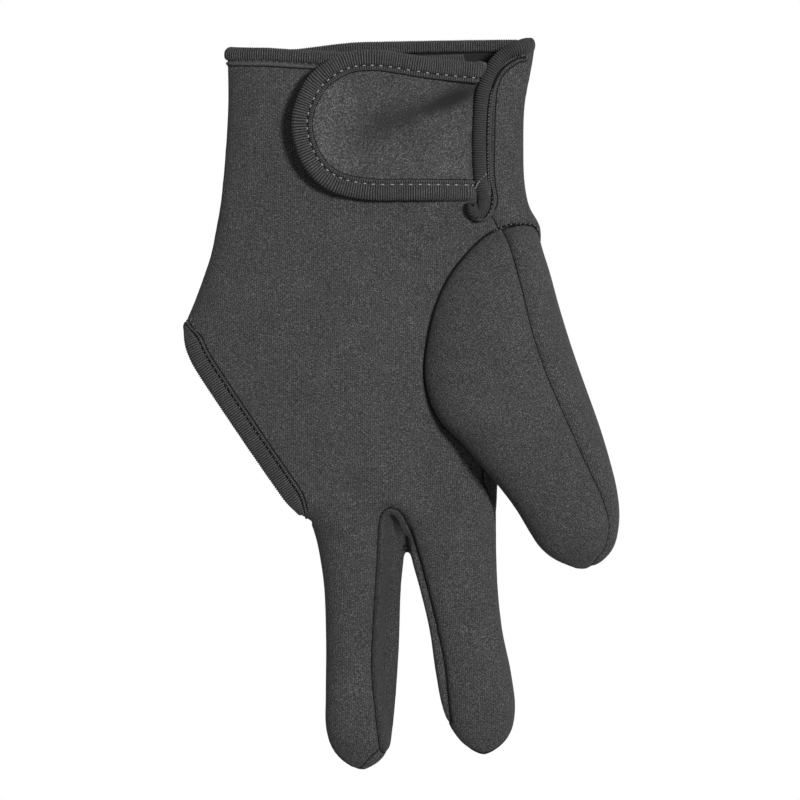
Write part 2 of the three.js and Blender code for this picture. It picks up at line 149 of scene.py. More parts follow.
INDEX = [
    (-22, 4.0, 30.0, 0.5, 12.6, 6.8, 6.4, -1.2),
    (-30, 2.0, 31.2, 0.5, 15.0, 6.6, 6.5, -1.2),
    (-36.6, 1.2, 31.6, 0.5, 16.4, 6.6, 6.6, -1.2),
    (-47, 2.8, 31.5, 0.5, 16.1, 6.8, 6.8, -1.2),
    (-53, 4.1, 31.6, 0.51, 16.0, 7.2, 6.9, -1.2),
    (-60, 6.1, 31.8, 0.52, 15.8, 7.6, 7.0, -1.2),
    (-75, 9.9, 33.4, 0.54, 15.3, 7.6, 7.0, -1.2),
    (-89, 11.9, 36.4, 0.54, 15.0, 7.4, 7.0, -1.2),
    (-101, 14.2, 37.8, 0.54, 14.2, 7.0, 7.0, -0.6),
    (-108.6, 17.4, 36.4, 0.52, 12.2, 6.6, 6.8, 1.4),
    (-112.5, 20.6, 33.8, 0.5, 10.2, 6.8, 6.8, 3.2),
    (-114.8, 23.8, 31.0, 0.5, 8.8, 6.8, 6.8, 4.6),
    (-116.2, 26.4, 28.7, 0.5, 7.3, 6.8, 6.8, 6.3),
]
THUMB = [
    (59.1, 29.0, 44.8, 0.5, 15.0, 10.6, 8.9, 2.6),
    (51, 22.4, 46.6, 0.5, 21.6, 13.2, 9.6, 3.4),
    (44, 16.4, 48.8, 0.5, 23.4, 14.0, 10.0, 3.8),
    (33, 11.2, 51.8, 0.5, 26.2, 15.4, 10.8, 4.8),
    (20, 8.2, 55.9, 0.5, 28.6, 16.8, 11.6, 6.2),
    (6, 8.3, 60.8, 0.5, 30.0, 18.2, 12.4, 7.6),
    (-6, 13.4, 65.0, 0.5, 30.6, 18.4, 13.2, 8.4),
    (-12, 19.4, 66.9, 0.5, 30.6, 18.4, 13.6, 8.4),
    (-19, 25.3, 68.9, 0.5, 30.4, 18.2, 13.8, 8.0),
    (-27, 32.4, 70.9, 0.5, 29.2, 17.6, 13.6, 7.2),
    (-35, 38.4, 72.0, 0.5, 27.2, 16.8, 13.2, 6.2),
    (-42, 42.6, 71.6, 0.5, 24.8, 15.6, 13.0, 5.8),
    (-47.5, 46.4, 70.0, 0.5, 21.8, 14.4, 12.8, 6.6),
    (-51.2, 51.0, 67.0, 0.5, 18.2, 13.4, 13.0, 8.6),
    (-53.3, 55.6, 63.9, 0.5, 15.4, 13.2, 13.2, 11.2),
    (-54.4, 58.6, 61.0, 0.5, 13.7, 13.2, 13.2, 12.7),
]

# Plan lines, seen from above, as points that a smooth curve passes through
SLIT_EDGE = [
    (43.4, 118.3), (39.8, 117.6), (35.2, 115.6), (31.8, 112.7), (29.1, 108.4), (27.2, 103.5),
    (26.2, 97), (25.8, 86), (26.0, 76), (26.6, 70.5),
]
SLIT_FOOT = (27.2, 68.8)
ROLL_END = [(40.3, 118.4, 2.5), (41.9, 118.3, 4.5), (42.5, 118.2, 9.0)]
CURL = [
    (27.3, 68.2, 0.0), (27.2, 65.6, 0.5), (26.3, 63.4, 1.2), (24.8, 62.5, 1.9),
    (23.5, 63.4, 2.6), (23.5, 64.8, 3.5), (23.8, 65.5, 4.6),
]
CURL_LENGTH = 9.0
CURL_END = 0.64
SLIT_CORD = [
    (41.4, 113.6), (38.2, 112.6), (34.2, 109.6), (31.8, 105.5), (30.8, 99), (30.4, 88), (30.3, 76), (31, 70),
    (31.4, 67.6), (31, 65.2), (29.3, 62.5), (27, 60.9), (24.6, 60.5),
]
WRAP_FOOT = [(28.7, 63.4), (30.5, 61.3), (31.9, 58.4), (34.4, 52), (34, -10)]
TAB_OUTLINE = [
    (38, 110.2), (29, 111.7), (10, 113.4), (-8, 115.9), (-20, 114.2), (-29.8, 106.9), (-35, 96.6),
    (-35.2, 87), (-31, 76.9), (-23.4, 70.1), (-12, 67.1), (4, 66.8), (28, 66.8),
]
HOOK_CORNERS = (-24, 80, 4, 102)
OPENING_EDGE = [
    (-71.6, 26.0), (-71.2, 24.2), (-70.6, 21.2), (-69.3, 17.2), (-65.9, 10.8), (-52.2, -9.8), (-38.8, -29.4),
    (-36.4, -32.6), (-34.6, -34.7), (-33.4, -36.2), (-31.4, -37.4), (-29.3, -38.8),
]
OPENING_FOOT = -36.6
OPENING_CORD_END = [(-31.2, -36.9, 9.5), (-31.2, -37.7, 7.5)]
MIDDLE_SEAM = [
    (-6.4, -114.6), (-7.8, -103), (-9.4, -88), (-9, -74), (-7.6, -53), (-7, -41), (-6.1, -36.4),
    (-3.8, -34.3),
]
INDEX_SEAM = [
    (-1, -35.2), (1.1, -38), (3.6, -44.2), (7.1, -56.4), (10.6, -70.3), (13.8, -85), (15.2, -98),
    (16.2, -105.2),
]
BETWEEN_FINGERS = [(14, -111), (4, -115), (-5.8, -115.6)]
THUMB_SEAM = [
    (31.5, 62), (33.6, 57.4), (35.6, 53), (39.9, 37.9), (43, 25.3), (47.5, 11.3), (51.4, 2), (56.9, -10.4),
    (61.6, -20.5), (65.5, -28.3), (68.4, -36), (69.1, -41.5), (67.6, -47.7), (64.4, -52),
]
THUMB_ROUND = [(58, -60), (-20, -60), (-20, 66)]
THUMB_SIDE_SEAM = [(66, 9), (20, 13.6), (-6, 17.4), (-19, 19.4), (-34, 15.6), (-60, 7)]

# Soft dents and swells of the cloth: place, reach along and across, turn from +X in degrees, height
DENTS = [
    (-14, -31, 14, 5, -28, -1.3),
    (12, -32, 10, 6, 20, -0.7),
    (-30, 58, 26, 9, 8, -0.7),
    (-20, 20, 30, 22, 50, 0.8),
    (2, 44, 20, 8, -50, -0.6),
    (20, -14, 10, 20, 0, -0.7),
    (18, 91, 7, 24, 0, -1.2),
    (-14, -76, 9, 16, 0, -0.35),
    (23, -70, 8, 14, 12, -0.35),
    (21, 56, 10, 4.5, 48, -1.3),
]
THUMB_DENTS = [
    (34, 22, 18, 8, -55, 0.7),
    (44, -6, 14, 6, -40, -0.7),
    (28, 44, 10, 6, -50, -0.5),
]
TAB_DENTS = [
    (15, 99.8, 14, 4, 21, -1.9),
    (-8, 91.4, 13, 7, 20, -1.1),
    (4, 77, 18, 6, 4, 0.5),
]
# How dark the tab is coloured, as shares: an even tone all over, then, in the same form, painted shade in its
# creases and painted light at its left end and lower middle
BRUSHED_ALL_OVER = 0.3
TAB_PAINTED_LIGHT = [
    (16, 99.8, 15, 3.0, 22, 0.75),
    (-8, 91.2, 13, 6, 20, 0.36),
    (-25, 92, 9, 17, 0, -0.34),
    (14, 79, 12, 6, 0, -0.12),
]
# Painted shade, as shares: on the middle finger's side towards the gap, and all over the rolled band for the
# shade of its deep ribs
GUSSET_PAINTED_SHADE = 0.36
ROLL_PAINTED_SHADE = 0.5
CROTCH_RIDGES = [0.85, 1.8]
RIDGE_HEIGHT = 0.42
RIDGE_WIDTH = 0.32
CORNER_LIMIT = 0.75
FOURCHETTE_BULGE = 0.6
FOURCHETTE_DROP = 0.5
THUMB_STEP = 1.4
THUMB_STEP_REACH = 5.0


# Curves and surfaces in numbers, in millimetres


def smooth(points, steps=8):
    """Points along the smooth curve through the given ones."""
    p = np.array(points, float)
    p = np.vstack([p[:1], p, p[-1:]])
    t = np.linspace(0, 1, steps, endpoint=False)[:, None]
    parts = []
    for a, b, c, d in zip(p, p[1:], p[2:], p[3:]):
        along = (2 * a - 5 * b + 4 * c - d) * t**2 + (3 * b - a - 3 * c + d) * t**3
        parts.append(b + ((c - a) * t + along) / 2)
    return np.vstack(parts + [p[-1:]])


def distances(path):
    """How far along a path each of its points is."""
    return np.concatenate([[0], np.cumsum(np.linalg.norm(np.diff(path, axis=0), axis=1))])


def resample(path, spacing):
    """The path in even steps of about the spacing, with how far along each point is."""
    along = distances(path[:, :3])
    count = max(int(round(along[-1] / spacing)), 4)
    places = np.linspace(0, along[-1], count + 1)
    return np.column_stack([np.interp(places, along, column) for column in path.T]), places


def blurred(values, reach):
    """Each value as the mean of those within reach of it, weighted towards the nearest."""
    weights = np.hanning(2 * reach + 3)[1:-1]
    padded = np.pad(values, ((reach, reach), (0, 0)), mode="edge")
    columns = [np.convolve(column, weights / weights.sum(), "valid") for column in padded.T]
    return np.column_stack(columns)


def unit(vectors):
    return vectors / np.maximum(np.linalg.norm(vectors, axis=-1, keepdims=True), 1e-9)


def reader(rows):
    """A form's sections at any places between its rows."""
    table = np.array(sorted(rows), float)
    places, values = table[:, 0], table[:, 1:]
    secant = np.diff(values, axis=0) / np.diff(places)[:, None]
    slope = np.vstack([secant[:1], (secant[1:] + secant[:-1]) / 2, secant[-1:]])

    def read(y):
        i = np.clip(np.searchsorted(places, y) - 1, 0, len(places) - 2)
        width = (places[i + 1] - places[i])[:, None]
        t = (y - places[i])[:, None] / width
        start, end = values[i], values[i + 1]
        out, back = slope[i] * width, slope[i + 1] * width
        return (
            start * (1 + 2 * t) * (1 - t) ** 2
            + out * t * (1 - t) ** 2
            + end * t**2 * (3 - 2 * t)
            + back * t**2 * (t - 1)
        )

    return read


def palm_height(x, y):
    """The height of the palm side of the hand at places on the plan."""
    left, right, crest, top, left_z, right_z, _ = reader(BODY)(np.asarray(y, float)).T
    middle = left + (right - left) * crest
    side = np.where(x >= middle, right, left)
    side_z = np.where(x >= middle, right_z, left_z)
    out = np.clip(np.abs((x - middle) / (side - middle)), 0, 1)
    return side_z + (top - side_z) * (1 - out**TOP_ROUNDNESS) ** (1 / TOP_ROUNDNESS)


def smoothstep(value, low, high):
    t = np.clip((value - low) / (high - low), 0, 1)
    return t * t * (3 - 2 * t)


def swells(p, dents):
    """The height of the soft dents and swells at places on the plan."""
    total = np.zeros(len(p))
    for x, y, along, across, turn, height in dents:
        c, s = math.cos(math.radians(turn)), math.sin(math.radians(turn))
        u = ((p[:, 0] - x) * c + (p[:, 1] - y) * s) / along
        v = ((p[:, 1] - y) * c - (p[:, 0] - x) * s) / across
        total += height * np.exp(-(u**2) - v**2)
    return total


def rumple(p, wave, height, seed):
    """Slow unevenness of soft cloth."""
    offset = Vector((seed, 2 * seed, 3 * seed))
    return height * np.array([noise.noise(Vector(q) / wave + offset) for q in p])


# Signed distances: above zero inside the region, below zero outside it


def inside(outline):
    """Distance into a plan outline."""
    a = np.array(outline, float)
    b = np.roll(a, -1, 0)
    edge = b - a
    length = np.maximum((edge**2).sum(1), 1e-9)
    rise = np.where(np.abs(edge[:, 1]) < 1e-9, 1e-9, edge[:, 1])

    def value(p):
        q = p[:, None, :2] - a[None]
        t = np.clip((q * edge).sum(2) / length, 0, 1)
        near = np.sqrt(((q - t[..., None] * edge) ** 2).sum(2)).min(1)
        spans = (a[:, 1] > p[:, None, 1]) != (b[:, 1] > p[:, None, 1])
        crossed = spans & (q[:, :, 0] < q[:, :, 1] * edge[:, 0] / rise)
        return np.where(crossed.sum(1) % 2 == 1, near, -near)

    return value


def above(height):
    return lambda p: p[:, 2] - height


def above_side_seam(p):
    """Height above the side seam, which runs lower on the fingers and comes up at the middle fingertip."""
    height = SIDE_SEAM_HEIGHT + SIDE_SEAM_RISE * p[:, 0] - FINGER_SEAM_DROP * smoothstep(-p[:, 1], 22, 46)
    at_tip = smoothstep(-p[:, 1], 102, 112) * smoothstep(p[:, 0], -18, -9) * (p[:, 0] < 5)
    return p[:, 2] - height - TIP_SEAM_RISE * at_tip


def both(*values):
    return lambda p: np.minimum.reduce([value(p) for value in values])


def outside(value):
    return lambda p: -value(p)


def beyond_mouth(p):
    """Distance beyond the wrist mouth: its palm side dips under the tab, its back falls to the left."""
    under_tab = np.clip(p[:, 0] + 44, 0, 50) * (1 - smoothstep(p[:, 0], 26, 34))
    dip = MOUTH_DIP * under_tab * smoothstep(p[:, 2], 7, 14) - 0.35 * smoothstep(p[:, 2], 7, 14)
    fall = MOUTH_BACK_FALL * smoothstep(-p[:, 0], 12, 40) * (1 - smoothstep(p[:, 2], 3, 9))
    return p[:, 1] - MOUTH_EDGE - MOUTH_SKEW * p[:, 0] + MOUTH_LEAN * p[:, 2] + dip + fall


def beneath(tree):
    """Distance below the skin of another form."""

    def value(p):
        found = np.zeros(len(p))
        for i, q in enumerate(p):
            place, normal, _, distance = tree.find_nearest(Vector(q) * MM)
            sign = 1 if (place - Vector(q) * MM).dot(normal) > 0 else -1
            found[i] = sign * distance / MM
        return found

    return value


slit_line = smooth(SLIT_EDGE)
foot_x, foot_y = SLIT_FOOT
in_slit = both(
    inside([
        *slit_line, SLIT_FOOT, (foot_x - SLIT_WIDTH, foot_y), (foot_x - SLIT_WIDTH, BEYOND), (43.4, BEYOND),
    ]),
    above(SLIT_DEPTH),
)
in_wrap = inside([*slit_line, *WRAP_FOOT, (100, -10), (100, BEYOND), (43.4, BEYOND)])
in_opening = inside([*smooth(OPENING_EDGE), (-29.3, -100), (-100, -100), (-100, 26)])
in_fourchette = both(
    inside([*smooth(MIDDLE_SEAM), *smooth(INDEX_SEAM), *BETWEEN_FINGERS]), above(FOURCHETTE_FOOT)
)
in_palm = both(above_side_seam, outside(in_wrap), outside(in_fourchette))
in_thumb_plan = inside([*smooth(THUMB_SEAM), *THUMB_ROUND])
side_y, side_z = np.array(sorted(THUMB_SIDE_SEAM), float).T
in_thumb_front = both(in_thumb_plan, lambda p: p[:, 2] - np.interp(p[:, 1], side_y, side_z))
in_tab = inside(smooth(TAB_OUTLINE))


def everywhere(p):
    """Zero at every place, for a panel whose seams are all deep."""
    return 0 * p[:, 0]


# Meshes


def deselect():
    if bpy.context.object and bpy.context.object.mode != "OBJECT":
        bpy.ops.object.mode_set(mode="OBJECT")
    bpy.ops.object.select_all(action="DESELECT")


def pick(obj):
    """Makes the object the only one selected."""
    deselect()
    obj.select_set(True)
    bpy.context.view_layer.objects.active = obj


def shaded_smooth(obj):
    pick(obj)
    bpy.ops.object.shade_smooth()
    return obj


def apply(obj, kind, **settings):
    pick(obj)
    modifier = obj.modifiers.new(kind.lower(), kind)
    for key, value in settings.items():
        setattr(modifier, key, value)
    bpy.ops.object.modifier_apply(modifier=modifier.name)


def linked(name, data):
    result = bpy.data.objects.new(name, data)
    bpy.context.scene.collection.objects.link(result)
    return result


def made(name, verts, faces):
    """A mesh object from points in millimetres."""
    mesh = bpy.data.meshes.new(name)
    mesh.from_pydata((np.asarray(verts) * MM).tolist(), [], [list(map(int, f)) for f in faces])
    return linked(name, mesh)


def opened(obj):
    mesh = bmesh.new()
    mesh.from_mesh(obj.data)
    return mesh


def outward(obj):
    """Turns the faces of a closed piece outwards."""
    mesh = opened(obj)
    bmesh.ops.recalc_face_normals(mesh, faces=mesh.faces)
    mesh.to_mesh(obj.data)
    mesh.free()
    return obj


def coordinates(mesh):
    co = np.zeros(len(mesh.vertices) * 3, np.float32)
    mesh.vertices.foreach_get("co", co)
    return co.reshape(-1, 3).astype(float) / MM


def set_coordinates(mesh, p):
    mesh.vertices.foreach_set("co", (p * MM).astype(np.float32).ravel())
    mesh.update()


def normals(mesh):
    found = np.zeros(len(mesh.vertices) * 3, np.float32)
    mesh.vertices.foreach_get("normal", found)
    return found.reshape(-1, 3).astype(float)


def set_cloth(mesh, flat):
    """Keeps each vertex's place on the flat cloth, in millimetres, as the UVs that the knit follows."""
    corner = np.zeros(len(mesh.loops), np.int32)
    mesh.loops.foreach_get("vertex_index", corner)
    layer = mesh.uv_layers.new(name="cloth")
    layer.data.foreach_set("uv", (flat[corner] * MM).astype(np.float32).ravel())


def set_share(mesh, name, values):
    """Keeps a share at each vertex, for the materials to read."""
    attribute = mesh.attributes.new(name, "FLOAT", "POINT")
    attribute.data.foreach_set("value", np.asarray(values, np.float32))


def ring_faces(rings, n):
    """The faces between rings of n points each."""
    return [
        (r * n + i, r * n + (i + 1) % n, (r + 1) * n + (i + 1) % n, (r + 1) * n + i)
        for r in range(rings - 1)
        for i in range(n)
    ]


def closed_rings(rings, n):
    """The same, with a face over each end."""
    ends = [tuple(range(n))[::-1], tuple(range((rings - 1) * n, rings * n))]
    return ring_faces(rings, n) + ends


def loft(name, rows):
    """A closed form through the rows."""
    places = np.linspace(rows[0][0], rows[-1][0], int(abs(rows[0][0] - rows[-1][0])) + 1)
    left, right, crest, top, left_z, right_z, bottom = reader(rows)(places).T[:, :, None]
    turn = np.arange(RING_POINTS) / RING_POINTS * 2 * math.pi
    across, up = np.cos(turn), np.sin(turn)
    power = np.where(up >= 0, 2 / TOP_ROUNDNESS, 2 / BOTTOM_ROUNDNESS)
    middle = left + (right - left) * crest
    side = np.where(across >= 0, right, left)
    side_z = np.where(across >= 0, right_z, left_z)
    end = np.where(up >= 0, top, bottom)
    x = middle + (side - middle) * np.abs(across) ** power
    z = np.maximum(side_z + (end - side_z) * np.abs(up) ** power, 0)
    y = np.broadcast_to(places[:, None], x.shape)
    verts = np.stack([x, y, z], 2).reshape(-1, 3)
    return made(name, verts, closed_rings(len(places), RING_POINTS))


def skin(name, forms, dents, seed, opening_lift=0.0):
    """One soft closed skin over the forms."""
    pick(forms[0])
    for form in forms[1:]:
        form.select_set(True)
    if len(forms) > 1:
        bpy.ops.object.join()
    result = bpy.context.view_layer.objects.active
    result.name = name
    apply(result, "REMESH", mode="VOXEL", voxel_size=VOXEL * MM)
    apply(result, "SMOOTH", factor=0.5, iterations=6)
    p, n = coordinates(result.data), normals(result.data)
    dented = swells(p, dents) * np.clip(n[:, 2], 0, 1)
    uneven = rumple(p, 38, 0.9, seed) * np.clip(n[:, 2] + 0.4, 0, 1)
    p = p + n * (SKIN_SWELL + dented + uneven)[:, None]
    p[:, 2] += opening_lift * smoothstep(in_opening(p), -14, -2) * smoothstep(-p[:, 2], -6, 0)
    p[:, 2] = np.maximum(p[:, 2], 0)
    set_coordinates(result.data, p)
    return result


def places_of(mesh):
    return np.array([v.co[:] for v in mesh.verts]) / MM


def cut_line(mesh, value):
    """Runs an edge line round the sheet where the value is zero, and keeps the value at each vertex."""
    mesh.normal_update()
    mesh.verts.ensure_lookup_table()
    p = places_of(mesh)
    f = value(p)
    near = np.flatnonzero(np.abs(f) < CUT_REACH)
    if len(near):
        steps = np.eye(3) * CUT_STEP
        slope = np.column_stack([(value(p[near] + step) - f[near]) / CUT_STEP for step in steps])
        n = np.array([mesh.verts[i].normal[:] for i in near])
        slope -= n * (slope * n).sum(1)[:, None]
        size = (slope**2).sum(1)
        good = size > 0.15
        moved = p[near] - slope * (f[near] / np.maximum(size, 1e-6))[:, None]
        for i, q, ok in zip(near, moved, good):
            if ok:
                mesh.verts[i].co = Vector(q) * MM
                f[i] = 0
    layer = mesh.verts.layers.float.get("side") or mesh.verts.layers.float.new("side")
    for v, x in zip(mesh.verts, f):
        v[layer] = x
    for edge in list(mesh.edges):
        a, b = edge.verts
        if a[layer] * b[layer] < 0:
            t = a[layer] / (a[layer] - b[layer])
            _, fresh = bmesh.utils.edge_split(edge, a, t)
            fresh[layer] = 0
    zero = [v for v in mesh.verts if v[layer] == 0]
    bmesh.ops.connect_verts(mesh, verts=zero)


def side_of(face, layer):
    values = [v[layer] for v in face.verts]
    return max(values, key=abs)


def split(mesh, value):
    """The part of the sheet where the value is above zero, and the rest, as two sheets."""
    cut_line(mesh, value)
    parts = []
    for wanted in (1, -1):
        part = mesh.copy()
        own = part.verts.layers.float.get("side")
        bmesh.ops.delete(part, geom=[f for f in part.faces if side_of(f, own) * wanted <= 0], context="FACES")
        parts.append(part)
    return parts


def without(mesh, value):
    return split(mesh, value)[1]


def rims(mesh):
    """The open edges of a sheet as loops of vertices, the longest first."""
    following = {}
    for edge in mesh.edges:
        if edge.is_boundary:
            a, b = edge.verts
            following.setdefault(a, []).append(b)
            following.setdefault(b, []).append(a)
    loops, seen = [], set()
    for start in following:
        if start in seen:
            continue
        loop, at = [start], start
        seen.add(start)
        while True:
            onward = [v for v in following[at] if v not in seen]
            if not onward:
                break
            at = onward[0]
            seen.add(at)
            loop.append(at)
        loops.append(loop)
    return sorted(loops, key=len, reverse=True)


def stretches(loop, kept):
    """The unbroken stretches of a loop's points that are kept, the longest first."""
    if kept.all():
        return [np.vstack([loop, loop[:1]])]
    start = np.flatnonzero(~kept)[0]
    loop, kept = np.roll(loop, -start, 0), np.roll(kept, -start)
    cuts = np.flatnonzero(np.diff(kept.astype(int))) + 1
    parts = [part for part, ok in zip(np.split(loop, cuts), np.split(kept, cuts)) if ok[0] and len(part) > 5]
    return sorted(parts, key=len, reverse=True)


seam_lines = []


def groove(mesh, bound, deep, ridges, step):
    """Draws the sheet down along its seams, where it isn't bound by a band, and deeper along the deep one."""
    seam = [v for loop in rims(mesh) for v in loop]
    p = np.array([v.co[:] for v in seam]) / MM
    free = np.ones(len(seam), bool)
    for value in bound:
        free &= np.abs(value(p)) > ON_LINE
    gain = np.where(np.abs(deep(p)) < ON_LINE, DEEP_SEAM, 1.0)
    tree = KDTree(len(seam))
    for i, v in enumerate(seam):
        if free[i]:
            tree.insert(v.co, i)
    tree.balance()
    near = []
    for v in mesh.verts:
        _, _, distance = tree.find(v.co)
        if distance < 1.6 * SEAM_WIDTH * MM:
            near.append(v)
    near_set = set(near)
    edges = [e for e in mesh.edges if e.verts[0] in near_set and e.verts[1] in near_set]
    bmesh.ops.subdivide_edges(mesh, edges=edges, cuts=2 if ridges else 1, use_grid_fill=True)
    mesh.normal_update()
    moves = []
    for v in mesh.verts:
        _, i, distance = tree.find(v.co)
        if distance > 4 * SEAM_WIDTH * MM:
            continue
        share = max(1 - distance / (SEAM_WIDTH * gain[i] * MM), 0)
        pucker = 1 + 0.25 * noise.noise(v.co * 260)
        height = -SEAM_DEPTH * gain[i] * share**2 * pucker * (0.2 + 0.8 * min(abs(v.normal.z) * 1.6, 1))
        away = distance / MM
        up = max(v.normal.z, 0)
        height -= step * up * (1 - smoothstep(away, 0, THUMB_STEP_REACH))
        if ridges:
            at_crotch = smoothstep(v.co.y / MM, -52, -42)
            swell = smoothstep(away, 0.3, 2.2) * (1 - smoothstep(away, 2.4, 6)) * (1 - at_crotch)
            height += FOURCHETTE_BULGE * swell * min(2 * up, 1)
            for ridge in ridges:
                height += RIDGE_HEIGHT * at_crotch * up * math.exp(-(((away - ridge) / RIDGE_WIDTH) ** 2))
        moves.append((v, v.normal * float(height) * MM))
    for v, move in moves:
        v.co += move
    if ridges:
        palm_side = p[p[:, 2] > FOURCHETTE_FOOT + 2.5]
        upper = KDTree(len(palm_side))
        for i, q in enumerate(palm_side):
            upper.insert(Vector(q) * MM, i)
        upper.balance()
        for v in mesh.verts:
            drop = smoothstep(upper.find(v.co)[2] / MM, 0.8, 5) * (1 - smoothstep(v.co.x / MM, 1.8, 4))
            v.co.z -= max(v.co.z - FOURCHETTE_FOOT * MM, 0) * float(drop) * FOURCHETTE_DROP
    mesh.normal_update()
    for loop in rims(mesh):
        kept = np.array([tree.find(v.co)[2] < 2 * MM for v in loop])
        line = np.array([[*(v.co / MM), *v.normal] for v in loop])
        seam_lines.extend(part[3:-3] for part in stretches(line, kept) if len(part) > 12)
        for v, ok in zip(loop, kept):
            if ok and v.link_faces:
                middles = [f.calc_center_median() for f in v.link_faces]
                inward = sum(middles, Vector()) / len(middles) - v.co
                v.co += inward.normalized() * SEAM_PULL * MM


def lay_out(obj, turn):
    """Gives the sheet flat cloth coordinates, even all over it, its wales turned from +Y by the degrees."""
    mesh = obj.data
    p, n = coordinates(mesh), normals(mesh)
    ends = np.zeros(len(mesh.edges) * 2, np.int32)
    mesh.edges.foreach_get("vertices", ends)
    a, b = ends.reshape(-1, 2).T
    wale = np.array([-math.sin(math.radians(turn)), math.cos(math.radians(turn)), 0])
    across = np.cross(wale, n)
    across /= np.maximum(np.linalg.norm(across, axis=1, keepdims=True), 0.35)
    step = ((across[a] + across[b]) / 2 * (p[b] - p[a])).sum(1)
    count = len(p)
    links = np.bincount(ends, minlength=count) + 1e-6

    def spread(u):
        return links * u - np.bincount(a, u[b], count) - np.bincount(b, u[a], count)

    # Conjugate gradients, from the plan's own coordinate
    u = p @ np.array([wale[1], -wale[0], 0])
    rest = np.bincount(b, step, count) - np.bincount(a, step, count) - spread(u)
    way = rest / links
    size = rest @ way
    for _ in range(LAY_OUT_ROUNDS):
        pull = spread(way)
        share = size / (way @ pull)
        u += share * way
        rest -= share * pull
        fresh = rest @ (rest / links)
        way = rest / links + fresh / size * way
        size = fresh
    set_cloth(mesh, np.column_stack([u, p @ wale]))


def sheet_object(name, mesh):
    """The sheet as an object, without the values that its cuts left."""
    data = bpy.data.meshes.new(name)
    mesh.to_mesh(data)
    mesh.free()
    data.attributes.remove(data.attributes["side"])
    return linked(name, data)


def panel(name, mesh, bound, turn, deep, ridges=(), step=0.0):
    """A sewn panel: a sheet with its seams drawn down, given its thickness."""
    bmesh.ops.remove_doubles(mesh, verts=mesh.verts, dist=0.02 * MM)
    groove(mesh, bound, deep, ridges, step)
    obj = sheet_object(name, mesh)
    lay_out(obj, turn)
    for material in (jersey, lining):
        obj.data.materials.append(material)
    apply(obj, "SOLIDIFY", thickness=WALL * MM, offset=-1, use_rim=True, material_offset=1)
    # Where a seam ends at an open edge, a corner may come out through the skin, and is put back
    whole = thumb_tree if name.startswith("thumb") else hand_tree
    for v in obj.data.vertices:
        place, facing, _, _ = whole.find_nearest(v.co)
        if (v.co - place).dot(facing) > CORNER_LIMIT * MM:
            v.co = place - facing * 0.3 * MM
    return shaded_smooth(obj)


def rim_path(mesh):
    """The longest open edge of a sheet, with the skin's direction outwards at each point of it."""
    mesh.normal_update()
    loop = rims(mesh)[0]
    path = np.array([v.co[:] for v in loop]) / MM
    facing = np.array([v.normal[:] for v in loop])
    return np.hstack([path, facing])


def edge_frame(path, reach, away):
    """Even places along an edge, with the skin's direction, the way out of the cloth, and how far along."""
    path, _ = resample(path, 0.5)
    path, along = resample(blurred(path, reach), RIB_PITCH / RIB_SAMPLES)
    place, facing = path[:, :3], unit(path[:, 3:])
    ahead = np.roll(place, -1, 0) - np.roll(place, 1, 0)
    ahead[0], ahead[-1] = place[1] - place[0], place[-1] - place[-2]
    ahead = unit(ahead)
    out = unit(np.cross(ahead, facing))
    if (out * np.array(away)).sum() < 0:
        out = -out
    facing = unit(facing - ahead * (facing * ahead).sum(1)[:, None])
    return place, facing, out, along


def hem_section(stitch, inner, wall, crown=1.1, within=1.0, inner_rib=0.1):
    """A folded band round a raw edge: places out of the cloth and above it, each with its share of a rib."""
    radius = wall / 2 + crown
    centre = HEM_OVERHANG - radius
    middle = (inner + stitch) / 2
    top = [
        (-inner, -0.2, 0),
        (-inner + 0.05, 0.3, 0),
        (-inner + 0.3, 0.62, inner_rib),
        (-middle - 0.05, 0.74, inner_rib),
        (-stitch - 0.45, 0.5, inner_rib),
        (-stitch - 0.2, 0.0, inner_rib),
        (-stitch, -0.4, 0),
        (-stitch + 0.25, 0.1, 0.6),
        (-stitch + 0.5, 0.6 * crown, 1),
        (-stitch + 1.0, 0.92 * crown, 1),
        (-stitch + 1.7, crown, 1),
    ]
    arc = [
        (centre + radius * math.cos(t), -wall / 2 + radius * math.sin(t), 1)
        for t in np.linspace(math.pi / 2, -math.pi / 2, 13)
    ]
    top = [row for row in top if row[0] < centre - 0.2]
    back = [
        (-stitch + 1.2, crown, 1),
        (-stitch + 0.3, 0.9 * crown, 1),
        (-stitch * within, 0.7 * crown, 1),
        (-inner * within + 0.05, 0.4 * crown, 0.8),
        (-inner * within, -0.2, 0),
    ]
    return top + arc + [(s, -wall - h, rib) for s, h, rib in back]


def roll_section():
    """The rolled band of the slit: a round roll with a flat flange behind its stitches."""
    drop = 0.1
    roll = [
        (ROLL_RADIUS * math.cos(t), drop + 1.22 * ROLL_RADIUS * math.sin(t), 1.5)
        for t in np.linspace(math.radians(165), -math.radians(140), 22)
    ]
    flange = [
        (-4.2, -0.4, 0), (-4.1, 0.25, 0), (-3.7, 0.5, 0.1), (-3.3, 0.45, 0.1), (-3.0, -0.1, 0.1),
        (-2.7, -0.55, 0), (-2.3, -0.35, 0.2),
    ]
    return flange + roll + [(-4.2, drop - 2, 0)]


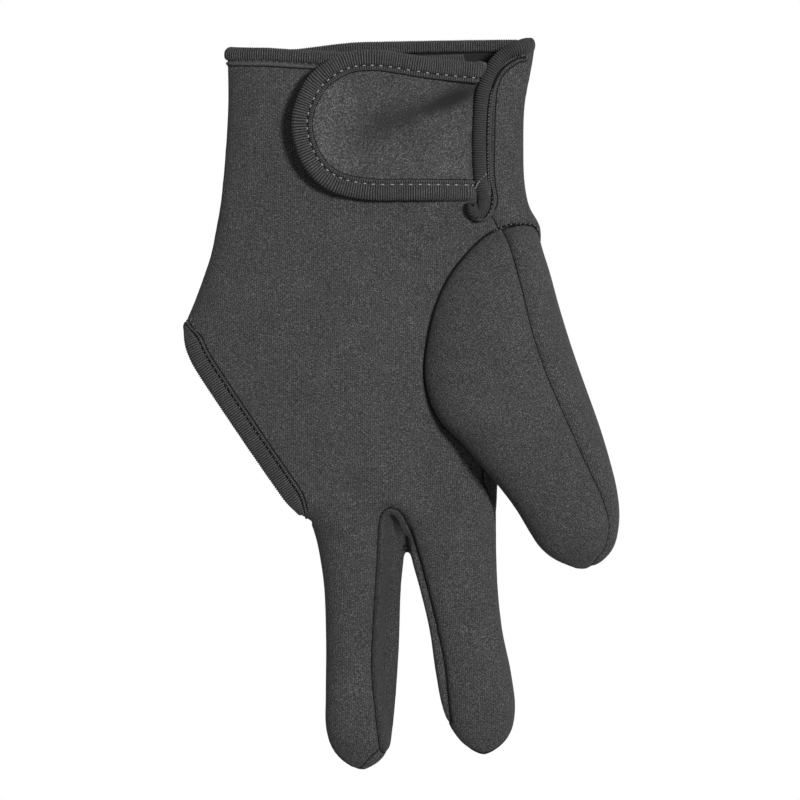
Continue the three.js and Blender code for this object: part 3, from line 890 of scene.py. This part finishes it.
def sweep(name, frame, section, even_at, sizes=1.0, heights=1.0, flange=None, hollow_end=False):
    """A ribbed band along an edge, with its own cloth coordinates. Its ribs are even at one place across."""
    place, facing, out, along = frame
    shape = np.array(section, float)
    sizes, heights = (np.broadcast_to(values, len(place))[:, None] for values in (sizes, heights))
    step = np.roll(shape, -1, 0) - np.roll(shape, 1, 0)
    normal = unit(np.column_stack([-step[:, 1], step[:, 0]]))
    centre = shape[:, :2].mean(0)
    if ((shape[:, :2] - centre) * normal).sum() < 0:
        normal = -normal
    drift = np.array([noise.noise(Vector((x / 9, len(name), 0))) for x in along]) * 0.35
    phase = distances(place + out * even_at) / RIB_PITCH + drift
    rib = (np.abs(np.sin(math.pi * phase)) ** 0.7 - 0.6) * RIB_DEPTH
    uneven = 1 + 0.3 * np.array([noise.noise(Vector((x / 2.3, 7, len(name)))) for x in along])
    lift = (rib * uneven)[:, None] * shape[None, :, 2]
    s = (shape[None, :, 0] + lift * normal[None, :, 0]) * sizes
    h = (shape[None, :, 1] + lift * normal[None, :, 1]) * sizes * heights
    if flange is not None:
        root = -ROLL_RADIUS * sizes
        s = np.where(shape[None, :, 0] < -ROLL_RADIUS, root + (s - root) * flange[:, None], s)
    verts = place[:, None] + out[:, None] * s[..., None] + facing[:, None] * h[..., None]
    rings, n = verts.shape[:2]
    points, faces = verts.reshape(-1, 3), ring_faces(rings, n)
    for ring, way in ((0, 1), (rings - 1, -1)):
        middle = verts[ring].mean(0)
        inner = middle + (verts[ring] - middle) * 0.55
        ahead = unit(place[min(ring + 1, rings - 1)] - place[max(ring - 1, 0)]) * way
        deep = inner + ahead * (1.8 if hollow_end else 0.1)
        base = len(points)
        points = np.vstack([points, inner, deep])
        for i in range(n):
            j = (i + 1) % n
            faces.append((ring * n + i, ring * n + j, base + j, base + i)[::-way])
            faces.append((base + i, base + j, base + n + j, base + n + i)[::-way])
        faces.append(tuple(base + n + i for i in range(n))[::-way])
    points[:, 2] = np.maximum(points[:, 2], 0.02)
    obj = outward(made(name, points, faces))
    own = np.zeros((len(points), 2))
    own[: rings * n, 0] = np.repeat(phase * RIB_PITCH, n)
    own[: rings * n, 1] = np.tile(distances(shape[:, :2]), rings)
    set_cloth(obj.data, own)
    unribbed = np.zeros(len(points))
    unribbed[: rings * n] = np.tile(1 - np.clip(shape[:, 2] / 0.6, 0, 1), rings)
    set_share(obj.data, "unribbed", unribbed)
    return shaded_smooth(obj)


def stitches(name, frame, s, h, pitch, length, thick, slant=0.0):
    """A row of stitches along an edge, each a small pillow of thread."""
    place, facing, out, along = frame
    rng = np.random.default_rng(len(name))
    verts, faces = [], []
    sides = 6
    # Each ring of a stitch: its place along the stitch, its width and how high it rises
    profile = [(-0.5, 0.25, -0.9), (-0.42, 0.7, -0.25), (-0.2, 1, 0.3)]
    profile += [(-t, wide, rise) for t, wide, rise in profile[::-1]]
    one = closed_rings(len(profile), sides)
    for at in np.arange(pitch / 2, along[-1] - pitch / 4, pitch):
        i = min(int(np.searchsorted(along, at + rng.uniform(-0.15, 0.15))), len(along) - 2)
        ahead = unit(place[i + 1] - place[i])
        ahead = unit(ahead + out[i] * (slant + rng.uniform(-0.08, 0.08)))
        across = unit(np.cross(facing[i], ahead))
        middle = place[i] + out[i] * s + facing[i] * h
        faces += [tuple(len(verts) + k for k in face) for face in one]
        for t, wide, rise in profile:
            for k in range(sides):
                turn = 2 * math.pi * k / sides
                verts.append(
                    middle
                    + ahead * t * length * rng.uniform(0.97, 1.03)
                    + across * math.cos(turn) * thick * wide
                    + facing[i] * (math.sin(turn) * thick * wide + rise * thick)
                )
    return shaded_smooth(outward(made(name, verts, faces)))


def tube(name, path, radius, sides=8, twist=0.0):
    """A thin cord along a path in space, lumpy with the twist of its strands."""
    path, along = resample(np.asarray(path, float), 0.22)
    ahead = unit(np.gradient(path, axis=0))
    up = unit(np.cross(ahead, np.cross([0.0, 0, 1], ahead)))
    across = np.cross(ahead, up)
    turn = np.arange(sides) / sides * 2 * math.pi
    thick = radius * (1 + twist * np.sin(2 * math.pi * along[:, None] / 0.95 + turn[None, :]))
    verts = (
        path[:, None]
        + up[:, None] * (np.sin(turn) * thick)[..., None]
        + across[:, None] * (np.cos(turn) * thick)[..., None]
    ).reshape(-1, 3)
    obj = outward(made(name, verts, closed_rings(len(path), sides)))
    set_cloth(obj.data, np.column_stack([np.repeat(along, sides) + RIB_PITCH / 2, np.zeros(len(verts))]))
    return shaded_smooth(obj)


def run(name, frame, s, h, radius, sizes=1.0, twist=0.0, onward=()):
    """A cord that runs beside an edge."""
    place, facing, out, _ = frame
    sizes = np.broadcast_to(sizes, len(place))[:, None]
    path = place + out * s * sizes + facing * h
    if len(onward):
        path = np.vstack([path if path[-1, 2] > path[0, 2] else path[::-1], onward])
    return tube(name, path, radius, twist=twist)


# Materials


def linear(code):
    """An sRGB hex colour as the linear one that shaders take."""
    values = [int(code[i : i + 2], 16) / 255 for i in (0, 2, 4)]
    return [*(v / 12.92 if v <= 0.04045 else ((v + 0.055) / 1.055) ** 2.4 for v in values), 1.0]


def node(tree, kind, inputs=(), stops=(), **settings):
    """Adds a shader node, with its settings, its colour stops, and its sockets set or linked."""
    added = tree.nodes.new(kind)
    for key, value in settings.items():
        setattr(added, key, value)
    for key, value in dict(inputs).items():
        if isinstance(value, bpy.types.NodeSocket):
            tree.links.new(value, added.inputs[key])
        else:
            added.inputs[key].default_value = value
    for i, (place, colour) in enumerate(stops):
        if i > 1:
            added.color_ramp.elements.new(place)
        added.color_ramp.elements[i].position = place
        added.color_ramp.elements[i].color = linear(colour)
    return added


def fabric(name, dark, base, light, wale, wale_bump, grain, grain_bump, sheen, valley_shade="6c6c6c", mottled=0.5):
    """A knitted or napped cloth face. Its wale is the distance between two ribs of the knit, in metres."""
    material = bpy.data.materials.new(name)
    material.use_nodes = True
    tree = material.node_tree
    tree.nodes.clear()
    place = node(tree, "ShaderNodeUVMap", uv_map="cloth").outputs["UV"]
    space = node(tree, "ShaderNodeTexCoord").outputs["Object"]
    unribbed = node(tree, "ShaderNodeAttribute", attribute_name="unribbed").outputs["Fac"]
    fine = {"Vector": space, "Scale": 1 / grain, "Detail": 3.0, "Roughness": 0.65}
    fibres = node(tree, "ShaderNodeTexNoise", fine)
    coarse = {"Vector": space, "Scale": 90.0, "Detail": 4.0, "Roughness": 0.6}
    cloud = node(tree, "ShaderNodeTexNoise", coarse)
    waves = {"Vector": place, "Scale": 2 * math.pi / 20 / wale}
    waves |= {"Distortion": 0.8, "Detail": 2.0, "Detail Scale": 1.5}
    wales = node(tree, "ShaderNodeTexWave", waves, wave_type="BANDS", bands_direction="X")
    ribs = node(tree, "ShaderNodeMix", {0: unribbed, 2: wales.outputs["Fac"], 3: 0.8}).outputs[0]
    heather = [(0.3, dark), (0.5, base), (0.72, light)]
    tint = node(tree, "ShaderNodeValToRGB", {"Fac": fibres.outputs["Fac"]}, heather).outputs["Color"]
    patches = [(0.3, "cfcfcf"), (0.7, "ffffff")]
    soft = node(tree, "ShaderNodeValToRGB", {"Fac": cloud.outputs["Fac"]}, patches).outputs["Color"]
    # Painted shade: the valleys between the ribs are coloured darker, towards the valley shade colour, for
    # the shade that falls in them
    ridge = node(tree, "ShaderNodeValToRGB", {"Fac": ribs}, [(0.0, valley_shade), (0.6, "ffffff")]).outputs["Color"]
    shade = {"data_type": "RGBA", "blend_type": "MULTIPLY"}
    mixed = node(tree, "ShaderNodeMix", {0: mottled, 6: tint, 7: soft}, **shade).outputs[2]
    ribbed = {0: min(wale_bump * 2, 1.0), 6: mixed, 7: ridge}
    coloured = node(tree, "ShaderNodeMix", ribbed, **shade).outputs[2]
    # Painted shade and light: a share read from each piece darkens the colour towards the dark fibres, and
    # below zero lightens it; on the tab it also carries an even tone and a random mottle
    painted_shade_and_tone = node(tree, "ShaderNodeAttribute", attribute_name="painted_shade_and_tone").outputs["Fac"]
    with_painted_shade = {0: painted_shade_and_tone, 6: coloured, 7: linear(dark)}
    coloured = node(tree, "ShaderNodeMix", with_painted_shade, data_type="RGBA").outputs[2]
    knit = node(tree, "ShaderNodeBump", {"Height": ribs, "Strength": wale_bump, "Distance": 0.0003})
    nap = node(
        tree,
        "ShaderNodeBump",
        {
            "Height": fibres.outputs["Fac"],
            "Strength": grain_bump,
            "Distance": 0.0004,
            "Normal": knit.outputs["Normal"],
        },
    )
    surface = node(
        tree,
        "ShaderNodeBsdfPrincipled",
        {
            "Base Color": coloured,
            "Roughness": 0.92,
            "Specular IOR Level": 0.25,
            "Sheen Weight": sheen,
            "Sheen Roughness": 0.5,
            "Normal": nap.outputs["Normal"],
        },
    )
    node(tree, "ShaderNodeOutputMaterial", {"Surface": surface.outputs["BSDF"]})
    return material


def plain(name, colour, roughness):
    material = bpy.data.materials.new(name)
    material.use_nodes = True
    surface = material.node_tree.nodes["Principled BSDF"]
    surface.inputs["Base Color"].default_value = linear(colour)
    surface.inputs["Roughness"].default_value = roughness
    surface.inputs["Specular IOR Level"].default_value = 0.12
    return material


def finish(obj, material, slot, *nodes):
    if not obj.data.materials:
        obj.data.materials.append(material)
    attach(obj, "root")
    if nodes:
        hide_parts(*nodes)


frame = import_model()

# Jersey-faced neoprene, a heathered polyester knit laid on foam: matt, fine vertical wales, pale fibres in it
jersey = fabric("neoprene_jersey", "1f1f1f", "383838", "747474", 0.00066, 0.22, 0.00036, 0.6, 0.03)
# The foam's plain inner face, dyed dark: no wales; its darkness is partly painted shade, standing in for the
# shade inside the mouth
lining = plain("foam_lining", "232323", 0.95)
# Elastic knit binding tape: darker, with raised ribs across it and a soft gleam on each
tape = fabric("binding_knit", "262626", "434343", "6c6c6c", 0.00078, 0.5, 0.0003, 0.4, 0.05, "242424")
# Brushed loop face of a hook-and-loop closure: paler, with a fluffy grain and no wales
loop = fabric("loop_face", "1c1c1c", "414141", "808080", 0.004, 0.02, 0.00045, 0.8, 0.05)
# Spun polyester sewing thread: a paler, slightly glossy grey
thread = plain("sewing_thread", "707070", 0.6)
pale_thread = plain("pale_thread", "8e8e8e", 0.6)
# The same thread dyed black, sunk in the seams; the same dark colour also makes thin lines of painted shadow
# in the gaps beside the bands and cords
dark_thread_and_gap_shade = plain("dark_thread_and_gap_shade", "121212", 0.9)
# Moulded nylon hook strip, seen as a plain dark plate
hooks = plain("hook_strip", "28282a", 0.55)

hand_forms = [loft("body", BODY), loft("middle", MIDDLE), loft("index", INDEX)]
hand_skin = skin("hand_skin", hand_forms, DENTS, 3, OPENING_LIFT)
thumb_skin = skin("thumb_skin", [loft("thumb", THUMB)], THUMB_DENTS, 11)
hand_sheet, thumb_sheet = opened(hand_skin), opened(thumb_skin)
hand_tree, thumb_tree = BVHTree.FromBMesh(hand_sheet), BVHTree.FromBMesh(thumb_sheet)

meeting_rim = rim_path(without(hand_sheet.copy(), beneath(thumb_tree)))
opening_rim = rim_path(without(hand_sheet, in_opening))
mouth_rim = rim_path(without(hand_sheet, beyond_mouth))


def tuck(p):
    """How far an edge runs on under the other form: less at the top, where the thumb's seam lies flat."""
    return SEAM_TUCK * (1 - 0.45 * smoothstep(p[:, 1], 56, 58.5))


def under_thumb(p):
    return beneath(thumb_tree)(p) - tuck(p)


def under_hand(p):
    return beneath(hand_tree)(p) - tuck(p)


def round_palm(p):
    """Zero on the palm's deep seams: round the thumb, and beside the fingers' gusset."""
    return np.minimum(np.abs(under_thumb(p)), np.abs(in_fourchette(p)))


for left_out in (under_thumb, beyond_mouth, in_opening, in_slit):
    hand_sheet = without(hand_sheet, left_out)
palm_sheet, rest_sheet = split(hand_sheet, in_palm)
fourchette_sheet, back_sheet = split(rest_sheet, in_fourchette)
thumb_sheet = without(thumb_sheet, under_hand)
thumb_front_sheet, thumb_back_sheet = split(thumb_sheet, in_thumb_front)

bound_edges = [beyond_mouth, in_opening, in_slit]

panels = {
    "palm_panel": panel("palm", palm_sheet, bound_edges, 0, round_palm),
    "back_panel": panel("back", back_sheet, bound_edges, 0, under_thumb),
    "finger_fourchette": panel(
        "fourchette", fourchette_sheet, bound_edges, 8, in_fourchette, ridges=CROTCH_RIDGES
    ),
    "thumb_front_panel": panel("thumb_front", thumb_front_sheet, [], 48, everywhere),
    "thumb_back_panel": panel("thumb_back", thumb_back_sheet, [], 0, everywhere, step=THUMB_STEP),
}
for obj in (hand_skin, thumb_skin):
    bpy.data.objects.remove(obj)
gusset = panels["finger_fourchette"].data
# Painted shade: the middle finger's side is coloured darker towards the gap, where the index finger's shadow
# falls
set_share(gusset, "painted_shade_and_tone", GUSSET_PAINTED_SHADE * (1 - smoothstep(coordinates(gusset)[:, 0], 1.8, 4)))
for cad_node, obj in panels.items():
    finish(obj, jersey, "neoprene_jersey", cad_node)

# Bands over the raw edges of the hand
opening_rim = stretches(opening_rim, opening_rim[:, 1] > OPENING_FOOT)[0]
opening_frame = edge_frame(opening_rim, 4, (-1.0, -0.4, 0))
from_end = np.minimum(opening_frame[3], opening_frame[3][-1] - opening_frame[3])
from_top = np.abs(opening_frame[3] - opening_frame[3][np.argmax(opening_frame[0][:, 1])])
opening_sizes = (0.62 + 0.38 * smoothstep(from_end, 0, 6)) * (0.45 + 0.55 * smoothstep(from_top, 1, 9))
hem = hem_section(*OPENING_HEM, WALL)
opening_band = sweep("opening_band", opening_frame, hem, -OPENING_HEM[0], opening_sizes)
finish(opening_band, tape, "binding_knit", "finger_opening_binding")
upper = (opening_frame[1][:, 2] > 0.4) & (from_end > 0.4)
open_part = [values[upper] for values in opening_frame]
open_sizes = opening_sizes[upper]
finish(stitches("opening_stitches", open_part, -4.45, 0.15, 1.9, 0.95, 0.13, 0.75), thread, "binding_knit")
opening_seam = run("opening_seam", open_part, -OPENING_HEM[0] - 0.05, -0.1, 0.34, open_sizes)
finish(opening_seam, dark_thread_and_gap_shade, "binding_knit")
# A thin dark tube as painted shadow in the gap at the band's inner edge
finish(run("opening_gap_shade", open_part, -5.75, 0.05, 0.26, open_sizes), dark_thread_and_gap_shade, "binding_knit")
opening_cord = run("opening_cord", open_part, -5.1, 0.4, 0.42, open_sizes, 0.1, OPENING_CORD_END)
finish(opening_cord, tape, "binding_knit")

top_start = np.argmin(np.abs(mouth_rim[:, 0] - 21) + (mouth_rim[:, 2] < 12) * 1000)
mouth_rim = np.roll(mouth_rim, -top_start, 0)
if mouth_rim[20, 0] > mouth_rim[0, 0]:
    mouth_rim = np.roll(mouth_rim[::-1], 1, 0)
mouth_end = np.flatnonzero((mouth_rim[:, 0] > 38) & (mouth_rim[:, 2] > 5))
mouth_rim = mouth_rim[: mouth_end[0] if len(mouth_end) else -60]
mouth_frame = edge_frame(mouth_rim, 3, (0, 1.0, 0))
cuff_band = sweep("cuff_band", mouth_frame, hem_section(*CUFF_HEM, WALL, within=0.45), -CUFF_HEM[0])
finish(cuff_band, tape, "binding_knit", "cuff_binding")
cuff_stitches = stitches("cuff_stitches", mouth_frame, -CUFF_HEM[0], -0.05, 2.4, 0.7, 0.13, 0.3)
finish(cuff_stitches, thread, "binding_knit")
finish(run("cuff_seam", mouth_frame, -CUFF_HEM[0] - 0.05, -0.2, 0.24), dark_thread_and_gap_shade, "binding_knit")
# A thin dark tube as painted shadow in the gap at the band's inner edge
finish(run("cuff_gap_shade", mouth_frame, -4.95, 0.05, 0.18), dark_thread_and_gap_shade, "binding_knit")

# The slit's rolled band, with its curl at the foot
slit_rows = [*[(x, y, 0.0) for x, y in SLIT_EDGE[1:]], *CURL]
slit_rows = [(x, y, palm_height([x], [y])[0] + lift) for x, y, lift in slit_rows]
slit_path = smooth([*ROLL_END, *slit_rows])
facing = []
for q in slit_path:
    _, direction, _, _ = hand_tree.find_nearest(Vector(q) * MM)
    facing.append(direction[:])
slit_frame = edge_frame(np.hstack([slit_path, facing]), 3, (-1.0, 0.3, 0))
left_over = slit_frame[3][-1] - slit_frame[3]
curl_sizes = CURL_END + (1 - CURL_END) * smoothstep(left_over, -2.5, CURL_LENGTH)
slit_band = sweep(
    "slit_band",
    slit_frame,
    roll_section(),
    0.0,
    sizes=curl_sizes * (1.25 - 0.25 * smoothstep(slit_frame[3], 6, 18)),
    heights=0.55 + 0.45 * smoothstep(slit_frame[3], 8, 20),
    flange=smoothstep(left_over, 2.5, 7) * smoothstep(slit_frame[3], 5, 11),
    hollow_end=True,
)
# Painted shade: the whole rolled band is coloured darker, for the shade of its deep ribs
set_share(slit_band.data, "painted_shade_and_tone", np.full(len(slit_band.data.vertices), ROLL_PAINTED_SHADE))
finish(slit_band, tape, "binding_knit", "slit_binding")
straight = (slit_frame[3] < slit_frame[3][-1] - 4) & (slit_frame[3] > 8)
slit_straight = [values[straight] for values in slit_frame]
finish(stitches("slit_stitches", slit_straight, -2.95, 0.15, 1.15, 0.7, 0.12, 0.8), thread, "binding_knit")
finish(run("slit_seam", slit_straight, -2.65, -0.3, 0.34), dark_thread_and_gap_shade, "binding_knit")
cord_plan = resample(smooth(SLIT_CORD), 0.5)[0]
cord_path = []
for x, y in cord_plan:
    hit, _, _, _ = hand_tree.ray_cast(Vector((x, y, 60)) * MM, Vector((0, 0, -1)))
    cord_path.append((x, y, hit.z / MM + 0.15) if hit else (x, y, palm_height([x], [y])[0]))
slit_cord = tube("slit_cord", cord_path, 0.42, twist=0.28)
finish(slit_cord, tape, "binding_knit")
cord_path = np.array(cord_path)
ahead = unit(np.gradient(cord_path, axis=0))
beside = np.column_stack([-ahead[:, 1], ahead[:, 0], 0 * ahead[:, 0]])
# Thin dark tubes as painted shadow in the gaps on either side of the slit's cord
for name, shift, radius in (("slit_gap_shade", -0.85, 0.45), ("strip_gap_shade", 0.6, 0.2)):
    gap_path = cord_path + beside * shift + (0, 0, 0.6 * radius - 0.15)
    finish(tube(name, gap_path, radius), dark_thread_and_gap_shade, "binding_knit")

# The thread that shows dark in the seams, and the stitches over the top of the thumb
meeting = stretches(meeting_rim, meeting_rim[:, 5] > 0.05)[0]
meeting_frame = edge_frame(meeting, 3, (0, 1.0, 0))
finish(run("thumb_seam", meeting_frame, 0, -0.12, 0.34), dark_thread_and_gap_shade, "neoprene_jersey")
on_top = meeting_frame[0][:, 1] > 57
top_frame = [values[on_top] for values in meeting_frame]
finish(stitches("thumb_stitches", top_frame, 0, 0.25, 1.7, 0.7, 0.12, 0.8), thread, "neoprene_jersey")
for i, line in enumerate(seam_lines):
    line_frame = edge_frame(line, 2, (0, 1.0, 0))
    finish(run(f"seam_{i}", line_frame, 0, -0.05, 0.24), dark_thread_and_gap_shade, "neoprene_jersey")


# The closing tab, over the palm side of the wrist
roll_x, roll_y = np.array(SLIT_EDGE[::-1], float).T


def before_roll(p):
    """Distance to the left of the roll's middle."""
    return np.interp(p[:, 1], roll_y, roll_x) - p[:, 0]


def tab_top(x, y):
    p = np.column_stack([x, y, np.zeros(len(x))])
    lying = 1.6 + 1.2 * smoothstep(y, 103, 109) - 2.3 * smoothstep(x, 6, 22) + 4.2 * smoothstep(-x, 12, 36)
    lift = lying + (-2.9 - lying) * smoothstep(-before_roll(p), -4.4, -1.6)
    return palm_height(x, y) + lift + TAB_THICKNESS + swells(p, TAB_DENTS)


columns = np.arange(-40, 36.5, TAB_CELL)
rows = np.arange(64, 121, TAB_CELL)
grid_x, grid_y = [v.ravel() for v in np.meshgrid(columns, rows)]
fluff = np.array([noise.noise(Vector((x / 0.9, y / 0.9, 5))) for x, y in zip(grid_x, grid_y)])
grid_z = tab_top(grid_x, grid_y) + 0.1 * fluff
wide = len(columns)
cells = [
    (r * wide + c, r * wide + c + 1, (r + 1) * wide + c + 1, (r + 1) * wide + c)
    for r in range(len(rows) - 1)
    for c in range(wide - 1)
]
tab_grid = made("tab_grid", np.column_stack([grid_x, grid_y, grid_z]), cells)


def in_tab_cloth(p):
    """Distance into the tab's cloth, which ends inside its band and just past the roll's middle."""
    return np.minimum(in_tab(p) - HEM_OVERHANG, before_roll(p) + 1.0)


tab = sheet_object("tab_face", split(opened(tab_grid), in_tab_cloth)[0])
bpy.data.objects.remove(tab_grid)
on_tab = coordinates(tab.data)
set_cloth(tab.data, on_tab[:, :2])
# Painted shade in the tab's creases and painted light at its left end and lower middle, over an even tone and
# a random mottle
painted_shade_and_tone = BRUSHED_ALL_OVER + swells(on_tab, TAB_PAINTED_LIGHT) + rumple(on_tab, 5, 0.16, 21)
set_share(tab.data, "painted_shade_and_tone", np.clip(painted_shade_and_tone, 0, 1))
apply(tab, "SOLIDIFY", thickness=TAB_THICKNESS * MM, offset=-1)
finish(shaded_smooth(tab), loop, "loop_face", "closure_tab")

outline = resample(smooth(TAB_OUTLINE, 24), 0.5)[0]
ahead = unit(np.gradient(outline, axis=0))
outline = outline + np.column_stack([-ahead[:, 1], ahead[:, 0]]) * HEM_OVERHANG
outline = outline[before_roll(outline) > -0.5]
x, y = outline.T
lean = 0.4
slope_x = (tab_top(x + lean, y) - tab_top(x - lean, y)) / (2 * lean)
slope_y = (tab_top(x, y + lean) - tab_top(x, y - lean)) / (2 * lean)
up = unit(np.column_stack([-slope_x, -slope_y, np.ones(len(x))]))
tab_path = np.column_stack([outline, tab_top(x, y), up])
tab_frame = edge_frame(tab_path, 2, (-1.0, 0, 0))
tab_hem = hem_section(*TAB_HEM, TAB_THICKNESS, 0.9, inner_rib=0.7)
tab_band = sweep("tab_band", tab_frame, tab_hem, -TAB_HEM[0])
finish(tab_band, tape, "binding_knit", "tab_binding")
tab_stitches = stitches("tab_stitches", tab_frame, -TAB_HEM[0], 0.05, 3.1, 1.1, 0.2)
finish(tab_stitches, pale_thread, "binding_knit")
finish(run("tab_seam", tab_frame, -TAB_HEM[0] - 0.05, -0.2, 0.26), dark_thread_and_gap_shade, "binding_knit")
# A thin dark tube as painted shadow in the gap at the band's inner edge
finish(run("tab_gap_shade", tab_frame, -5.6, 0.05, 0.2), dark_thread_and_gap_shade, "binding_knit")

# The hidden half of the closure, one plain plate between the tab and the palm
deselect()
bpy.ops.mesh.primitive_grid_add(x_subdivisions=28, y_subdivisions=22, size=1)
hook = bpy.context.object
hook.name = "hook_plate"
x0, y0, x1, y1 = HOOK_CORNERS
p = coordinates(hook.data) * MM
p[:, 0] = (x0 + x1) / 2 + p[:, 0] * (x1 - x0)
p[:, 1] = (y0 + y1) / 2 + p[:, 1] * (y1 - y0)
p[:, 2] = palm_height(p[:, 0], p[:, 1]) + 1.3
set_coordinates(hook.data, p)
apply(hook, "SOLIDIFY", thickness=HOOK_THICKNESS * MM, offset=-1)
bpy.ops.object.shade_smooth_by_angle(angle=math.radians(40))
finish(hook, hooks, "hook_face", "hook_patch")

# A loose thread end at the foot of the slit
loose = [(28.2, 75.6, 1.9), (27.4, 74.8, 2.3), (26.2, 73.4, 2.6), (25.2, 72.2, 2.7), (24.6, 70.6, 2.4)]
loose = smooth(loose)
loose[:, 2] += palm_height(loose[:, 0], loose[:, 1])
finish(tube("loose_thread", loose, 0.1, 6), pale_thread, "binding_knit")

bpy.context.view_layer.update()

# The floor is white and bright enough to lose every shadow, as in the photograph
bpy.ops.mesh.primitive_plane_add(size=6, location=(0, 0, -0.0005))
floor = bpy.context.object
floor.name = "floor"
white = bpy.data.materials.new("white_paper")
white.use_nodes = True
white.node_tree.nodes.clear()
glow = node(white.node_tree, "ShaderNodeEmission", {"Color": linear("ffffff"), "Strength": 1.0})
node(white.node_tree, "ShaderNodeOutputMaterial", {"Surface": glow.outputs["Emission"]})
floor.data.materials.append(white)
floor.visible_diffuse = False
bpy.ops.mesh.primitive_plane_add(size=6, location=(0, 0, -0.002))
table = bpy.context.object
table.name = "table"
table.data.materials.append(plain("grey_table", "8a8a8a", 0.9))

scene = bpy.context.scene
world = bpy.data.worlds.new("studio")
scene.world = world
world.use_nodes = True
world.node_tree.nodes["Background"].inputs["Color"].default_value = linear("ffffff")
world.node_tree.nodes["Background"].inputs["Strength"].default_value = 0.28


def area_light(name, place, size, power):
    light = bpy.data.lights.new(name, "AREA")
    light.size = size
    light.energy = power
    holder = linked(name, light)
    holder.location = place
    holder.rotation_mode = "QUATERNION"
    holder.rotation_quaternion = (Vector((0, 0, 0.01)) - Vector(place)).to_track_quat("-Z", "Y")


area_light("key", (0.79, 0.37, 1.69), 0.3, 43.2)
area_light("fill", (-0.5, -0.1, 1.1), 0.9, 0.9)

# The photograph's view, straight down through a long lens
camera = bpy.data.cameras.new("camera")
camera.lens = 200
camera.sensor_width = 36
camera.clip_start, camera.clip_end = 0.1, 10
camera_object = linked("camera", camera)
camera_object.location = (-0.00017, 0.0013, 1.478)
scene.camera = camera_object
scene.view_settings.view_transform = "Standard"
